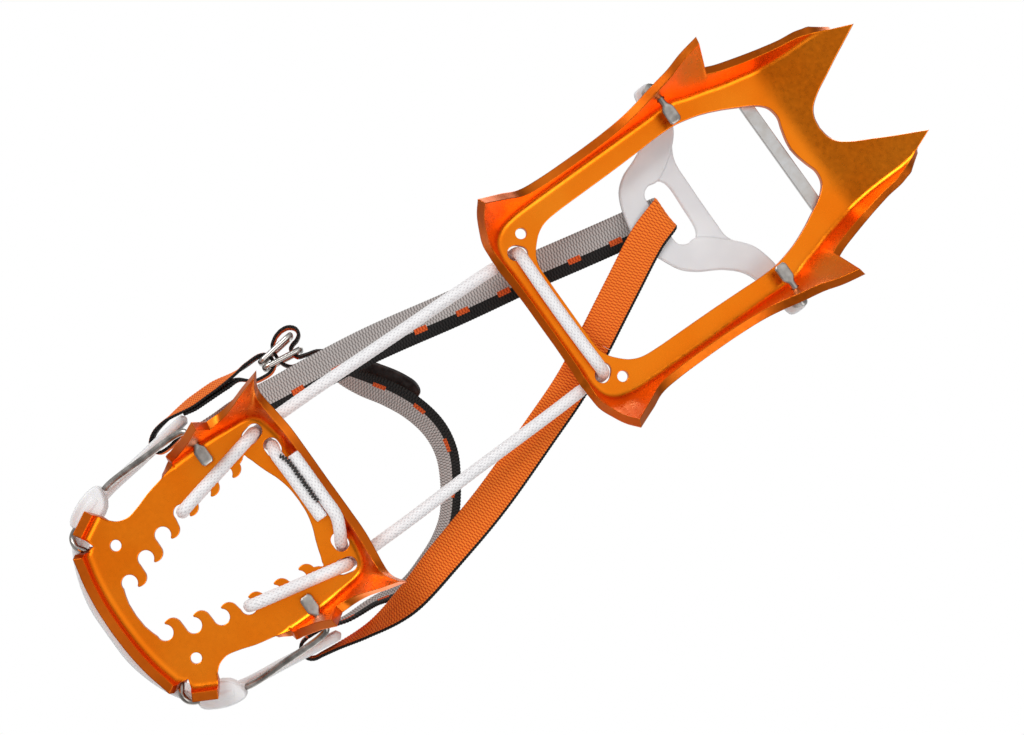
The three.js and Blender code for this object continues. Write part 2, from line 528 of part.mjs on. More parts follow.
const TAIL_ROUTE = [
  [-50.2, 60.7, BUCKLE_Z, 0, 0, 1], [-50.7, 58, BUCKLE_Z, 0, 0, 1], [-50.2, 55.4, BUCKLE_Z, 0, 0, 1],
  [-48.4, 53.7, BUCKLE_Z, 0, 0, 1], [-46.3, 53.9, BUCKLE_Z, 0, 0, 1], [-45, 55.6, BUCKLE_Z, 0, 0, 1],
  [-44.5, 57.6, BUCKLE_Z, 0, 0, 1], [-43.6, 59.1, BUCKLE_Z, 0, 0, 1], [-41.8, 59.4, BUCKLE_Z, 0, 0, 1],
  [-40, 58.5, BUCKLE_Z, 0, 0, 1], [-39.1, 56, BUCKLE_Z + 0.1, 0, 0, 1],
  [-37.6, 52.2, BUCKLE_Z + 0.5, 0.05, 0.05, 1], [-33.2, 48.4, 50, 0.15, 0.15, 1],
  [-27.4, 45.2, 50.8, 0.3, 0.36, 0.87], [-20.6, 41.2, 51.8, 0.38, 0.54, 0.76],
  [-13.6, 36.8, 52, 0.34, 0.58, 0.73], [-5, 33, 52, 0.2, 0.64, 0.74],
];

// The webbing end sewn round the rings, doubled along the outside of the left arm, then
// single through the slot to the inside: drawn in plan, standing on edge.
const BUCKLE_END_OUTLINE = [
  [-40.6, 107], [-39.4, 112], [-40.2, 116.2], [-42.6, 117.6], [-45.4, 116.6], [-47.9, 113.4],
  [-49, 108], [-49, 96], [-48.2, 80], [-48.6, 74.4], [-48.4, 68.8], [-46.8, 66.2], [-44.5, 65.6],
  [-42.2, 66.2], [-40.5, 68.8], [-40.4, 74.4], [-45.6, 80], [-46.4, 96], [-47.4, 102],
  [-47.6, 107.6], [-46.4, 112.6], [-44.6, 115.2], [-42.6, 116], [-41, 115], [-40.7, 112],
  [-41.8, 107.2],
];
const BUCKLE_EYE = [
  [-47.3, 69], [-46.2, 67.3], [-44.5, 66.8], [-42.8, 67.3], [-41.7, 69], [-41.8, 72.4],
  [-43.3, 74], [-45.7, 74], [-47.2, 72.4],
];

// A buckle ring stands on edge, with one long side in the eye and the other in front of it.
const RING_EYE_Y = 70;
const RING_REACH = 13.6;
const RING_BAR = 1.8;
const RING_HEIGHT = 17.6;
function buckleRing(x, lean) {
  const outer = roundedBox(-RING_BAR / 2, RING_REACH + RING_BAR / 2, RING_HEIGHT / 2, 2.4);
  const inner = roundedBox(RING_BAR / 2, RING_REACH - RING_BAR / 2, RING_HEIGHT / 2 - RING_BAR, 1);
  const flat = plate(outer, -RING_BAR / 2, RING_BAR / 2, [inner]);
  const stand = new THREE.Matrix4().makeBasis(vec(0, -1, 0), vec(0, 0, 1), vec(-1, 0, 0));
  flat.applyMatrix4(stand);
  flat.rotateZ(lean);
  return flat.translate(x, RING_EYE_Y, BUCKLE_Z);
}

function roundedBox(left, right, halfHeight, radius) {
  const points = [];
  const corners = [
    [right - radius, halfHeight - radius, 0], [left + radius, halfHeight - radius, 90],
    [left + radius, radius - halfHeight, 180], [right - radius, radius - halfHeight, 270],
  ];
  for (const [x, y, start] of corners) {
    for (const turn of [0, 30, 60, 90]) {
      points.push(polar([x, y], radius, start + turn));
    }
  }
  return points;
}

// The flat steel bar across the front opening lies on the plate.
const BAR_Y = -114.5;
function toeBar() {
  const bar = roundedBox(-33, 33, 2.3, 2.2);
  return plate(bar, 0, 1.6).translate(0, BAR_Y, PLATE_TOP + GAP);
}

const group = new THREE.Group();
function addPart(name, geometry, material) {
  const mesh = new THREE.Mesh(geometry.translate(0, -MIDDLE_Y, 0), material);
  mesh.name = name;
  group.add(mesh);
}

addPart("front_frame", frontFrame(), orangeMetal());
addPart("heel_frame", heelFrame(), orangeMetal());
addPart("toe_bar", toeBar(), steel());
addPart("toe_ring", toeRing(), whitePlastic());
addPart("heel_cup", heelCup(), whitePlastic());
for (const [name, side] of [["right", 1], ["left", -1]]) {
  const toeWire = flattenedWire(toeWireRoute(side), 14);
  const sideWire = flattenedWire(sideWireRoute(side), 24);
  addPart(`toe_wire_${name}`, toGeometry(toeWire), steel());
  addPart(`heel_side_wire_${name}`, toGeometry(sideWire), steel());
  addPart(`link_cord_${name}`, tube(linkCordRoute(side), CORD_RADIUS, 76), whiteCord());
}
addPart("heel_rear_wire", tube(rearWireRoute(), WIRE_RADIUS, 48), steel());
addPart("front_cord", tube(frontCordRoute(), CORD_RADIUS, 48), whiteCord());
addPart("cord_splice_stitching", spliceStitching(), blackTrim());
addPart("strap_toe_fold", strap(TOE_FOLD_ROUTE, 40), orangeWeb());
addPart("strap_left_run", strap(LEFT_RUN_ROUTE, 36), greyWeb());
addPart("strap_right_run", strap(RIGHT_RUN_ROUTE, 48), orangeWeb());
addPart("strap_ankle_run", strap(ANKLE_ROUTE, 84), greyWeb());
addPart("strap_tail", strap(TAIL_ROUTE, 56), blackTrim());
addPart("strap_buckle_end", plate(
  BUCKLE_END_OUTLINE, ARM_Z - STRAP_WIDTH / 2, ARM_Z + STRAP_WIDTH / 2, [BUCKLE_EYE],
), orangeWeb());
addPart("buckle_ring_inner", buckleRing(-43.3, 0.13), steel());
addPart("buckle_ring_outer", buckleRing(-45.7, -0.13), steel());

export default group;
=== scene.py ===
"""The looks of one strap-on crampon: finer sheet, cord, webbing, wire and plastic round its frame."""
import math

import bmesh
import bpy
import numpy as np
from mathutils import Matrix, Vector


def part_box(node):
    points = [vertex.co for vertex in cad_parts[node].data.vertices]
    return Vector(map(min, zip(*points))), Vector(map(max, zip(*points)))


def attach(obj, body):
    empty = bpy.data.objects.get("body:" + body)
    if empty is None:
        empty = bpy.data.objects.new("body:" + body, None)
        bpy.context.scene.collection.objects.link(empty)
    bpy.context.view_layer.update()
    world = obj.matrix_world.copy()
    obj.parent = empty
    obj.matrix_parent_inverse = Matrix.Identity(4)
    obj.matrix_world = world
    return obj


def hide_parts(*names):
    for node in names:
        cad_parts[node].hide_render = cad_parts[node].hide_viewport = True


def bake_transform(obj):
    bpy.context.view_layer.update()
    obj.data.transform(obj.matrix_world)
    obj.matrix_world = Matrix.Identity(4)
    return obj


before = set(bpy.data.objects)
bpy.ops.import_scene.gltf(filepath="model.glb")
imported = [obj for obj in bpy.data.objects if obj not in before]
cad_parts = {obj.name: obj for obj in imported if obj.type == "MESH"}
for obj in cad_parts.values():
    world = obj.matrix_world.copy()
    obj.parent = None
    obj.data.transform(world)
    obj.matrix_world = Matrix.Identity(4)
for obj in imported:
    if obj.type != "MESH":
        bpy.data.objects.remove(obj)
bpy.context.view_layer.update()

# Driving values. Outlines and routes below are in millimetres, in the drawing's own frame,
# whose origin lies MIDDLE_Y in front of the frame's. placed() turns them into metres.
MM = 0.001
FRONT_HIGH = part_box("front_frame")[1]
BAR_LOW, BAR_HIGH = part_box("toe_bar")
RING_LOW, RING_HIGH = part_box("toe_ring")
CUP_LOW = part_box("heel_cup")[0]
MIDDLE_Y = 2.9
SHEET = 3.0
BEND_RADIUS = 2.6
PLATE_TOP = FRONT_HIGH.z / MM
PLATE_BOTTOM = PLATE_TOP - SHEET
POINT_LENGTH = PLATE_BOTTOM
GAP = 0.3
CORD_RADIUS = 2.15
CORD_BELOW = PLATE_BOTTOM - GAP - CORD_RADIUS
CORD_ABOVE = PLATE_TOP + GAP + CORD_RADIUS
STRAP_WIDTH = 12.5
STRAP_THICKNESS = 1.2
WIRE_RADIUS = 1.15
SMALL_HOLE_RADIUS = 1.9
CORD_SLOT_RADIUS = 2.6
HOOK_RADIUS = 2.75
HOOK_LOBE_RADIUS = 3.1
HOOK_LOBE_STEP = 3
HOOK_TIP_RADIUS = 0.5
HOOK_TIP_HEADING = -139
RING_BOTTOM = RING_LOW.z / MM
RING_TOP = RING_HIGH.z / MM
TOE_PIVOT_Y = -89.5
TOE_PIVOT_Z = PLATE_BOTTOM - 6.4
DIP_START = -120.6
DIP_SLOPE = 0.42
DIP_BLEND = 4.5


# ---------------------------------------------------------------- curves and meshes

def placed(points):
    """Drawing points, in millimetres, as places in the frame, in metres."""
    moved = np.array(points, float)
    moved[:, 1] -= MIDDLE_Y
    return moved * MM


def mirrored(points, side):
    return [[side * point[0], *point[1:]] for point in points]


def curve_points(points, places, closed=False, corners=()):
    """Points on a centripetal Catmull-Rom curve; a place counts spans from the first point."""
    knots = np.asarray(points, float)
    count = len(knots)
    here = places.astype(int)
    if not closed:
        here = np.minimum(here, count - 2)
    t = (places - here)[:, None]
    sharp = np.zeros(count, bool)
    sharp[list(corners)] = True
    if not closed:
        sharp[[0, -1]] = True
    start, end = knots[here % count], knots[(here + 1) % count]
    before = np.where(sharp[here % count][:, None], 2 * start - end, knots[(here - 1) % count])
    after = np.where(sharp[(here + 1) % count][:, None], 2 * end - start, knots[(here + 2) % count])

    def root_of_gap(a, b):
        return np.maximum(np.linalg.norm(b - a, axis=1, keepdims=True), 1e-6) ** 0.5

    g0, g1, g2 = root_of_gap(before, start), root_of_gap(start, end), root_of_gap(end, after)
    leave = ((start - before) / g0 - (end - before) / (g0 + g1) + (end - start) / g1) * g1
    arrive = ((end - start) / g1 - (after - start) / (g1 + g2) + (after - end) / g2) * g1
    cubic = 2 * start - 2 * end + leave + arrive
    square = -3 * start + 3 * end - 2 * leave - arrive
    return ((cubic * t + square) * t + leave) * t + start


def even_places(points, step, closed=False):
    """Places along the curve an even step apart, and how far along each one is."""
    spans = len(points) if closed else len(points) - 1
    places = np.linspace(0, spans, spans * 40 + 1)
    dense = curve_points(points, places, closed)
    along = np.concatenate([[0], np.cumsum(np.linalg.norm(np.diff(dense, axis=0), axis=1))])
    count = max(4, round(along[-1] / step))
    lengths = np.linspace(0, along[-1], count + 1)
    return np.interp(lengths, along, places), lengths


def unit(vectors):
    return vectors / np.maximum(np.linalg.norm(vectors, axis=-1, keepdims=True), 1e-12)


def tangents(path):
    return unit(np.gradient(path, axis=0))


def steady_frames(path):
    """Two directions across a path, carried along it without twist."""
    along = tangents(path)
    seed = np.array([0, 0, 1.0]) if abs(along[0][2]) < 0.9 else np.array([1.0, 0, 0])
    side = unit(np.cross(along[0], seed))
    sides = [side]
    for direction in along[1:]:
        side = unit(side - direction * side.dot(direction))
        sides.append(side)
    sides = np.array(sides)
    return sides, np.cross(along, sides)


def swept(path, first_way, second_way, along_first, along_second):
    """Loops of points round a path, given as offsets in two directions across it."""
    spots = path[:, None] + along_first[..., None] * first_way[:, None]
    spots = spots + along_second[..., None] * second_way[:, None]
    return placed(spots.reshape(-1, 3)).reshape(spots.shape)


def grid_faces(rows, columns, closed_rows=False):
    """Quads over a grid of loops: each row is a closed loop of columns."""
    faces = []
    for i in range(rows if closed_rows else rows - 1):
        here, following = i * columns, ((i + 1) % rows) * columns
        for j in range(columns):
            k = (j + 1) % columns
            faces.append((here + j, following + j, following + k, here + k))
    return faces


def linked(name, data):
    """A new object in the scene."""
    made = bpy.data.objects.new(name, data)
    bpy.context.scene.collection.objects.link(made)
    return made


def make_mesh(name, points, faces, materials, smooth=True):
    """A mesh object with its faces turned outwards."""
    data = bpy.data.meshes.new(name)
    data.from_pydata([tuple(p) for p in points], [], faces)
    for material in materials:
        data.materials.append(material)
    bm = bmesh.new()
    bm.from_mesh(data)
    bmesh.ops.recalc_face_normals(bm, faces=bm.faces)
    bm.to_mesh(data)
    bm.free()
    data.shade_smooth() if smooth else data.shade_flat()
    return linked(name, data)


def loop_skin(loops, closed=False):
    """Points and faces of a skin over loops of points, with end caps where it isn't closed."""
    loops = np.asarray(loops)
    rows, columns = loops.shape[:2]
    faces = grid_faces(rows, columns, closed)
    if not closed:
        faces.append(tuple(range(columns)))
        faces.append(tuple(range((rows - 1) * columns, rows * columns))[::-1])
    return loops.reshape(-1, 3), faces


def finalised(piece):
    """Turns a piece's modifiers, or its curve, into its mesh."""
    graph = bpy.context.evaluated_depsgraph_get()
    data = bpy.data.meshes.new_from_object(piece.evaluated_get(graph))
    if piece.type == "MESH":
        piece.modifiers.clear()
        piece.data = data
        return piece
    solid = linked(piece.name + "_mesh", data)
    bpy.data.objects.remove(piece)
    return solid


def join(pieces, name):
    """One object made of several, keeping each one's material."""
    bm = bmesh.new()
    materials = []
    for piece in pieces:
        own = list(piece.data.materials)
        materials += [material for material in own if material not in materials]
        start = len(bm.faces)
        bm.from_mesh(piece.data)
        bm.faces.ensure_lookup_table()
        for face in bm.faces[start:]:
            face.material_index = materials.index(own[face.material_index])
    data = bpy.data.meshes.new(name)
    bm.to_mesh(data)
    bm.free()
    for material in materials:
        data.materials.append(material)
    for piece in pieces:
        bpy.data.objects.remove(piece)
    return linked(name, data)


def carve(piece, cutters):
    """Cuts every cutter out of a piece; the new walls take the cutters' material."""
    tool = join(cutters, piece.name + "_cutter")
    cut = piece.modifiers.new("cut", "BOOLEAN")
    cut.operation = "DIFFERENCE"
    cut.solver = "EXACT"
    cut.use_self = True
    cut.object = tool
    cut.material_mode = "TRANSFER"
    finalised(piece)
    bpy.data.objects.remove(tool)
    return piece


def crisp(piece, degrees=32):
    """Smooth shading broken at the real edges."""
    piece.data.shade_smooth()
    piece.data.set_sharp_from_angle(angle=math.radians(degrees))
    weighted = piece.modifiers.new("weighted", "WEIGHTED_NORMAL")
    weighted.keep_sharp = True
    return finalised(piece)


def settle(piece, body, slot, *nodes):
    """Gives a piece its body, and lets it stand for CAD nodes. Its finish slot is not used."""
    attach(piece, body)
    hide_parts(*nodes)


def prism(name, outline, bottom, top, material):
    """A straight-sided block over an outline, used for cutting."""
    ring = placed([[x, y, 0] for x, y in outline])
    loops = [ring + [0, 0, bottom * MM], ring + [0, 0, top * MM]]
    return make_mesh(name, *loop_skin(loops), [material], smooth=False)


def arc(centre, radius, start, end, steps):
    angles = np.radians(np.linspace(start, end, steps + 1))
    return [[centre[0] + radius * math.cos(a), centre[1] + radius * math.sin(a)] for a in angles]


def capsule(a, b, radius):
    """The outline of a slot with round ends."""
    heading = math.degrees(math.atan2(b[1] - a[1], b[0] - a[0]))
    return arc(b, radius, heading - 90, heading + 90, 14) + arc(a, radius, heading + 90, heading + 270, 14)


ROD_END_SHARE = 0.72


def tube(name, route, radius, material, step=0.8, sides=24, closed=False):
    """A round rod along a smooth route, with slightly rounded ends."""
    places, lengths = even_places(route, step, closed)
    path = curve_points(route, places, closed)
    if closed:
        path = path[:-1]
        lengths = lengths[:-1]
    side, up = steady_frames(path)
    angles = np.linspace(0, 2 * math.pi, sides, endpoint=False)
    radii = np.full(len(path), radius)
    if not closed:
        radii[[0, -1]] *= ROD_END_SHARE
    loops = swept(path, side, up, radii[:, None] * np.cos(angles), radii[:, None] * np.sin(angles))
    return make_mesh(name, *loop_skin(loops, closed), [material])


# ---------------------------------------------------------------- materials

def srgb(code):
    """A screen colour such as DE6510, as the linear colour that a shader takes."""
    channels = [int(code[i:i + 2], 16) / 255 for i in (0, 2, 4)]
    return [c / 12.92 if c <= 0.04045 else ((c + 0.055) / 1.055) ** 2.4 for c in channels] + [1.0]


class Nodes:
    """Adds nodes to a tree, with each input set from a constant or another node's output."""

    def __init__(self, tree):
        self.tree = tree

    def plug(self, socket, value):
        if isinstance(value, bpy.types.NodeSocket):
            self.tree.links.new(value, socket)
        else:
            socket.default_value = value

    def node(self, kind, inputs=(), **settings):
        made = self.tree.nodes.new(kind)
        for key, value in settings.items():
            setattr(made, key, value)
        for key, value in dict(inputs).items():
            self.plug(made.inputs[key], value)
        return made

    def math(self, operation, *values):
        return self.node("ShaderNodeMath", enumerate(values), operation=operation).outputs[0]

    def mix(self, factor, first, second):
        return self.node("ShaderNodeMix", {0: factor, 6: first, 7: second}, data_type="RGBA").outputs[2]

    def span(self, value, low, high, to_low, to_high):
        inputs = {"Value": value, "From Min": low, "From Max": high, "To Min": to_low, "To Max": to_high}
        return self.node("ShaderNodeMapRange", inputs).outputs[0]


class Finish(Nodes):
    """A Principled material whose nodes are added step by step."""

    def __init__(self, name, colour, roughness, metallic=0.0):
        self.material = bpy.data.materials.new(name)
        self.material.use_nodes = True
        self.material.diffuse_color = srgb(colour)
        super().__init__(self.material.node_tree)
        self.shader = self.tree.nodes["Principled BSDF"]
        self.set("Base Color", srgb(colour))
        self.set("Roughness", roughness)
        self.set("Metallic", metallic)

    def set(self, socket, value):
        self.plug(self.shader.inputs[socket], value)

    def noise(self, scale, detail=2.0):
        where = self.node("ShaderNodeTexCoord").outputs["Object"]
        return self.node("ShaderNodeTexNoise", {"Vector": where, "Scale": scale, "Detail": detail}).outputs[0]

    def mottle(self, scale, low, high, first, second, detail=2.0):
        """Varies the colour between two shades, and gives the share of the second."""
        share = self.span(self.noise(scale, detail), low, high, 0.0, 1.0)
        self.set("Base Color", self.mix(share, srgb(first), srgb(second)))
        return share

    def bump(self, height, depth, strength, normal=None):
        inputs = {"Height": height, "Distance": depth, "Strength": strength}
        if normal is not None:
            inputs["Normal"] = normal
        return self.node("ShaderNodeBump", inputs).outputs[0]

    def grain(self, scale, depth, strength, edge_radius=0.0, detail=2.0):
        """A fine bumpy grain, over edges that catch the light as if they were rounded."""
        edges = None
        if edge_radius:
            edges = self.node("ShaderNodeBevel", {"Radius": edge_radius}, samples=8).outputs[0]
        self.set("Normal", self.bump(self.noise(scale, detail), depth, strength, edges))


def anodised(name, colour, deep_colour, roughness):
    """Anodised aluminium: a tinted metal with a fine satin grain and soft clouding."""
    finish = Finish(name, colour, roughness, metallic=1.0)
    finish.mottle(38, 0.35, 0.7, deep_colour, colour)
    finish.set("Roughness", finish.span(finish.noise(620, 4.0), 0.3, 0.7, roughness - 0.05, roughness + 0.06))
    finish.grain(2600, 0.00001, 0.4, 0.00045, detail=3.0)
    return finish.material


def steel_finish(name, colour, roughness):
    """Drawn steel wire, a little uneven, with dull patches."""
    finish = Finish(name, colour, roughness, metallic=1.0)
    patches = finish.mottle(240, 0.35, 0.7, colour, "C9C5C0", detail=3.0)
    finish.set("Roughness", finish.span(patches, 0.0, 1.0, roughness - 0.06, roughness + 0.1))
    finish.grain(1400, 0.00005, 0.6, 0.0003)
    return finish.material


def plastic_finish(name, colour):
    """Moulded nylon: off-white, slightly translucent, with a fine sparked texture."""
    finish = Finish(name, colour, 0.42)
    finish.mottle(60, 0.3, 0.7, colour, "E9E9EA")
    finish.set("Subsurface Weight", 0.18)
    finish.set("Subsurface Radius", (0.0012, 0.0012, 0.001))
    finish.grain(1900, 0.00003, 0.5, 0.0006)
    return finish.material


STRAND_HEIGHT = "strand_height"


def cord_finish(name):
    """Braided white cord, greyer between its strands as painted shade, with faint grey flecks."""
    finish = Finish(name, "F2F1F3", 0.85)
    height = finish.node("ShaderNodeAttribute", attribute_name=STRAND_HEIGHT).outputs["Fac"]
    # Painted shade: the cord's colour turns grey where the strands sink, in the grooves between them.
    groove_shade = finish.mix(finish.span(height, 0.0, 0.55, 0.0, 1.0), srgb("C4C0C4"), srgb("FAF9FA"))
    flecks = finish.span(finish.noise(900), 0.6, 0.7, 0.0, 0.5)
    finish.set("Base Color", finish.mix(flecks, groove_shade, srgb("C9C6C8")))
    finish.set("Sheen Weight", 0.25)
    finish.grain(3200, 0.00008, 0.6)
    return finish.material


RIB_PITCH = 1.05
RIB_COLUMNS = 7
TICK_PITCH = 15.5
TICK_LENGTH = 4.6
TICK_WIDTH = 2.0
TICK_INTO_BLACK = 0.02


def weave_height(finish, across, along):
    """A basket weave: ribs across the webbing, every other column half a rib further on."""
    column = finish.math("FLOOR", finish.math("MULTIPLY", across, RIB_COLUMNS))
    offset = finish.math("MULTIPLY", finish.math("MODULO", column, 2.0), 0.5)
    turns = finish.math("ADD", finish.math("DIVIDE", along, RIB_PITCH), offset)
    ridge = finish.math("COSINE", finish.math("MULTIPLY", turns, 2 * math.pi))
    return finish.span(ridge, -1.0, 0.3, 0.0, 1.0)


def web_finish(name, colour, gap_shade_colour, black_from, ticks):
    """One face of the webbing: coloured ribs, darker between them as painted shade, a black band along one
    edge, and orange ticks.
    """
    finish = Finish(name, colour, 0.85)
    where = finish.node("ShaderNodeSeparateXYZ", {0: finish.node("ShaderNodeTexCoord").outputs["UV"]})
    across, along = where.outputs[0], finish.math("MULTIPLY", where.outputs[1], 1000.0)
    height = weave_height(finish, across, along)
    # Painted shade: ribs, black band and ticks are darker where the weave sinks between the ribs.
    ground = finish.mix(height, srgb(gap_shade_colour), srgb(colour))
    trim = finish.mix(height, srgb("0C0B0B"), srgb("2A2827"))
    in_band = finish.math("GREATER_THAN", across, black_from)
    shade = finish.mix(in_band, ground, trim)
    if ticks:
        orange = finish.mix(height, srgb("A63A10"), srgb("E4622A"))
        cycle = finish.math("FRACT", finish.math("DIVIDE", along, TICK_PITCH))
        on_length = finish.math("LESS_THAN", cycle, TICK_LENGTH / TICK_PITCH)
        middle = finish.math("ABSOLUTE", finish.math("SUBTRACT", across, black_from + TICK_INTO_BLACK))
        on_line = finish.math("LESS_THAN", middle, TICK_WIDTH / STRAP_WIDTH / 2)
        shade = finish.mix(finish.math("MULTIPLY", on_length, on_line), shade, orange)
    finish.set("Base Color", shade)
    finish.set("Specular IOR Level", 0.25)
    fibres = finish.bump(finish.noise(5200), 0.00006, 0.5)
    finish.set("Normal", finish.bump(height, 0.00012, 0.8, fibres))
    return finish.material


def coated_finish(name):
    """The dipped end of the webbing: smooth black coating with dull streaks."""
    finish = Finish(name, "1B1A1B", 0.42)
    streaks = finish.span(finish.noise(300, 4.0), 0.4, 0.75, 0.0, 0.6)
    finish.set("Base Color", finish.mix(streaks, srgb("191819"), srgb("55504E")))
    finish.grain(1100, 0.00008, 0.6)
    return finish.material


def thread_finish(name):
    """Bonded black sewing thread."""
    finish = Finish(name, "262524", 0.7)
    finish.set("Base Color", finish.mix(finish.noise(2400), srgb("121111"), srgb("3C3A38")))
    finish.grain(4200, 0.00008, 0.8)
    return finish.material


ORANGE = anodised("anodised_orange", "FF8C1C", "FA7D12", 0.3)
# The sawn edges: the plate's anodised orange, a little rougher, and darker as painted shade.
SHADED_CUT_EDGE = anodised("anodised_cut_edge_painted_shade", "E0701A", "C65A12", 0.34)
STEEL = steel_finish("steel_wire", "8C8782", 0.3)
BRIGHT_STEEL = steel_finish("steel_bright", "C4C0BB", 0.24)
BAR_STEEL = steel_finish("steel_flat_bar", "D6D6D6", 0.36)
PLASTIC = plastic_finish("moulded_plastic", "F1F1F2")
RING_PLASTIC = plastic_finish("moulded_ring_plastic", "DCDCDE")
CORD = cord_finish("braided_cord")
# The second colour of each webbing face is the painted shade between its ribs.
GREY_WEB = web_finish("webbing_grey", "C2BBB8", "7A7471", 0.66, True)
ORANGE_WEB = web_finish("webbing_orange", "FF842A", "C8460A", 0.93, False)
COATED_WEB = coated_finish("webbing_coated")
THREAD = thread_finish("sewing_thread")


# ---------------------------------------------------------------- formed sheet
# A station is one radial cut: the edge of the central opening, the bend line, the rim as
# seen from above, and the rim's depth. "tip" keeps the rim's corner sharp there, and "snap"
# keeps every line's. A flat station bends only in its last sliver.

FLAT_SHARE = 0.97


def bent(hole, bend, rim, depth, corner=""):
    return {"hole": hole, "bend": bend, "rim": rim, "depth": depth, "corner": corner}


def flat(hole, rim, corner=""):
    near_rim = [hole[i] + (rim[i] - hole[i]) * FLAT_SHARE for i in (0, 1)]
    return bent(hole, near_rim, rim, 0.0, corner)


FRONT_STATIONS = [
    flat([0, -117.8], [0, -129]),
    flat([3.2, -118.2], [4, -129.6]),
    flat([7.5, -119.3], [7, -131.2]),
    flat([11, -120.4], [10, -134.8]),
    flat([14, -120.2], [13, -140]),
    flat([16, -119.4], [16.2, -145.6]),
    flat([17.6, -118], [19, -150.8]),
    flat([18.6, -116.8], [21.8, -156], "tip"),
    flat([19.6, -115.3], [24.6, -150]),
    bent([20.4, -114], [25.3, -143.2], [27.2, -144], 1.4),
    bent([21.3, -112.2], [25.5, -137.5], [29, -138.5], 3.6),
    bent([22.2, -110.4], [26, -130], [30, -132], 5.2),
    bent([23.2, -108.5], [26.9, -122.5], [31.6, -124.5], 6.8),
    bent([24.3, -106.3], [28.3, -115.5], [33.3, -117], 7.8),
    bent([25.3, -104], [29.8, -108.8], [35.2, -110.2], 8.4),
    bent([26, -102.4], [30.9, -105.2], [36.6, -106.6], 9, "tip"),
    bent([26.6, -100.8], [31.6, -102.5], [45.4, -106.8], POINT_LENGTH, "tip"),
    bent([27.3, -98.8], [32.8, -98], [44, -100], 20),
    bent([28.3, -95], [34.2, -93.6], [42.2, -94.5], 16.5),
    bent([29.2, -90.5], [34.6, -89], [41, -88.5], 13.2),
    bent([29.5, -84], [34.5, -83], [39.6, -82], 10.2),
    bent([29.2, -76], [34.4, -75], [38.4, -74.5], 8),
    bent([28.8, -64], [34.3, -64], [37.7, -64], 7),
    bent([28.6, -52], [34.2, -52], [37.5, -52], 6.8),
    bent([28.4, -41], [34.1, -41], [37.7, -40.5], 7.4),
    bent([28, -36], [34, -34], [38.4, -33], 9.6),
    bent([27.2, -33], [33.8, -28], [40.5, -26.5], 15.5),
    bent([25.8, -30.4], [33, -22.8], [43, -18.6], POINT_LENGTH, "tip"),
    bent([24.6, -29], [31.6, -19.8], [39.4, -16.2], 17.5),
    bent([23.3, -27.7], [30, -18.2], [35, -14.8], 11),
    bent([21.8, -26.4], [28, -17.4], [31, -14.1], 5),
    bent([20, -25.2], [25, -17], [26.3, -14.4], 2.4),
    bent([17, -24.2], [19, -17], [19.3, -14.9], 1.4),
    bent([9, -24], [9.5, -17], [9.5, -15.1], 1.2),
    bent([0, -24], [0, -17], [0, -15.1], 1.2),
]
FRONT_CORD_SLOT = [[25.2, -20.2], [24, -21.4]]
FRONT_SMALL_HOLE = [29.4, -25.6]

HEEL_STATIONS = [
    bent([0, 86.3], [0, 80.6], [0, 77], 3.6),
    bent([5, 86.6], [6, 80.6], [6.3, 77], 3.8),
    bent([10, 87.8], [13, 80.7], [13.5, 77.1], 4.6),
    bent([14, 89.4], [20, 81], [20.6, 77.3], 6.6),
    bent([17.5, 90.6], [24.5, 81.6], [26.4, 77.7], 8.6),
    bent([19.5, 91.2], [28, 82.6], [31.4, 78], 10.5),
    bent([21, 91.8], [29.8, 84.2], [35.2, 77.8], 13.5),
    bent([22.5, 92.3], [30.7, 86], [40, 74.8], POINT_LENGTH, "tip"),
    bent([20, 95], [31.1, 88.6], [38.3, 81.5], 18),
    bent([16, 97], [31.2, 91.6], [36.4, 87.6], 13),
    bent([14, 99], [31.2, 94.4], [35.6, 92.4], 9.8),
    bent([13, 101], [31.3, 97], [35.3, 96.2], 9.4, "tip"),
    bent([12.5, 104], [31.4, 99.8], [37.1, 99.4], POINT_LENGTH, "tip"),
    bent([12, 107], [31.5, 104], [35.4, 104], 17.5),
    bent([11.5, 111], [31.5, 109], [34.3, 109.4], 9),
    bent([11, 115], [31.4, 113.5], [33, 114], 3),
    flat([10, 119.5], [32, 118.6]),
    flat([9, 125], [30.6, 125]),
    flat([7, 131], [28.8, 130.5]),
    flat([6, 136], [27.9, 135]),
    flat([5, 140], [29, 138.6]),
    flat([4.6, 142.5], [30.8, 140.6], "snap"),
    bent([4.2, 144], [32.4, 141.8], [34.9, 143.2], 6, "snap"),
    bent([3.6, 146.2], [28.4, 149], [30.9, 150.5], 6, "snap"),
    flat([3.2, 147.2], [26.6, 149.4], "snap"),
    bent([2.6, 148], [24, 151.2], [25.4, 153.8], 7, "snap"),
    bent([2, 148.6], [17, 152.8], [17.8, 155.2], 7),
    bent([1, 149], [8.5, 153.9], [9, 156.3], 7),
    bent([0, 149], [0, 154.2], [0, 156.6], 7),
]
HEEL_SMALL_HOLE = [22.7, 143.4]
HEEL_CORD_SLOT_OUTER = [[27, 85], [26.4, 87.4]]
HEEL_CORD_SLOT_INNER = [[20, 83.2], [18.4, 83.2]]
HOOK_CENTRES = [[10, 146.8], [13.5, 137.9], [16.6, 129], [19, 119.8], [20.3, 110.5], [21.2, 101.2]]
STATION_STEPS = 6
FLAT_ROWS = 12
BEND_ROWS = 7
FALL_ROWS = 5
LEAST_BEND_STEP = 0.03


def dip_at(y):
    """How far the front of the plate dips below its plane, and how steeply."""
    past = np.maximum(0.0, DIP_START - y)
    eased = np.where(past < DIP_BLEND, past * past / (2 * DIP_BLEND), past - DIP_BLEND / 2)
    return DIP_SLOPE * eased, DIP_SLOPE * np.minimum(1.0, past / DIP_BLEND)


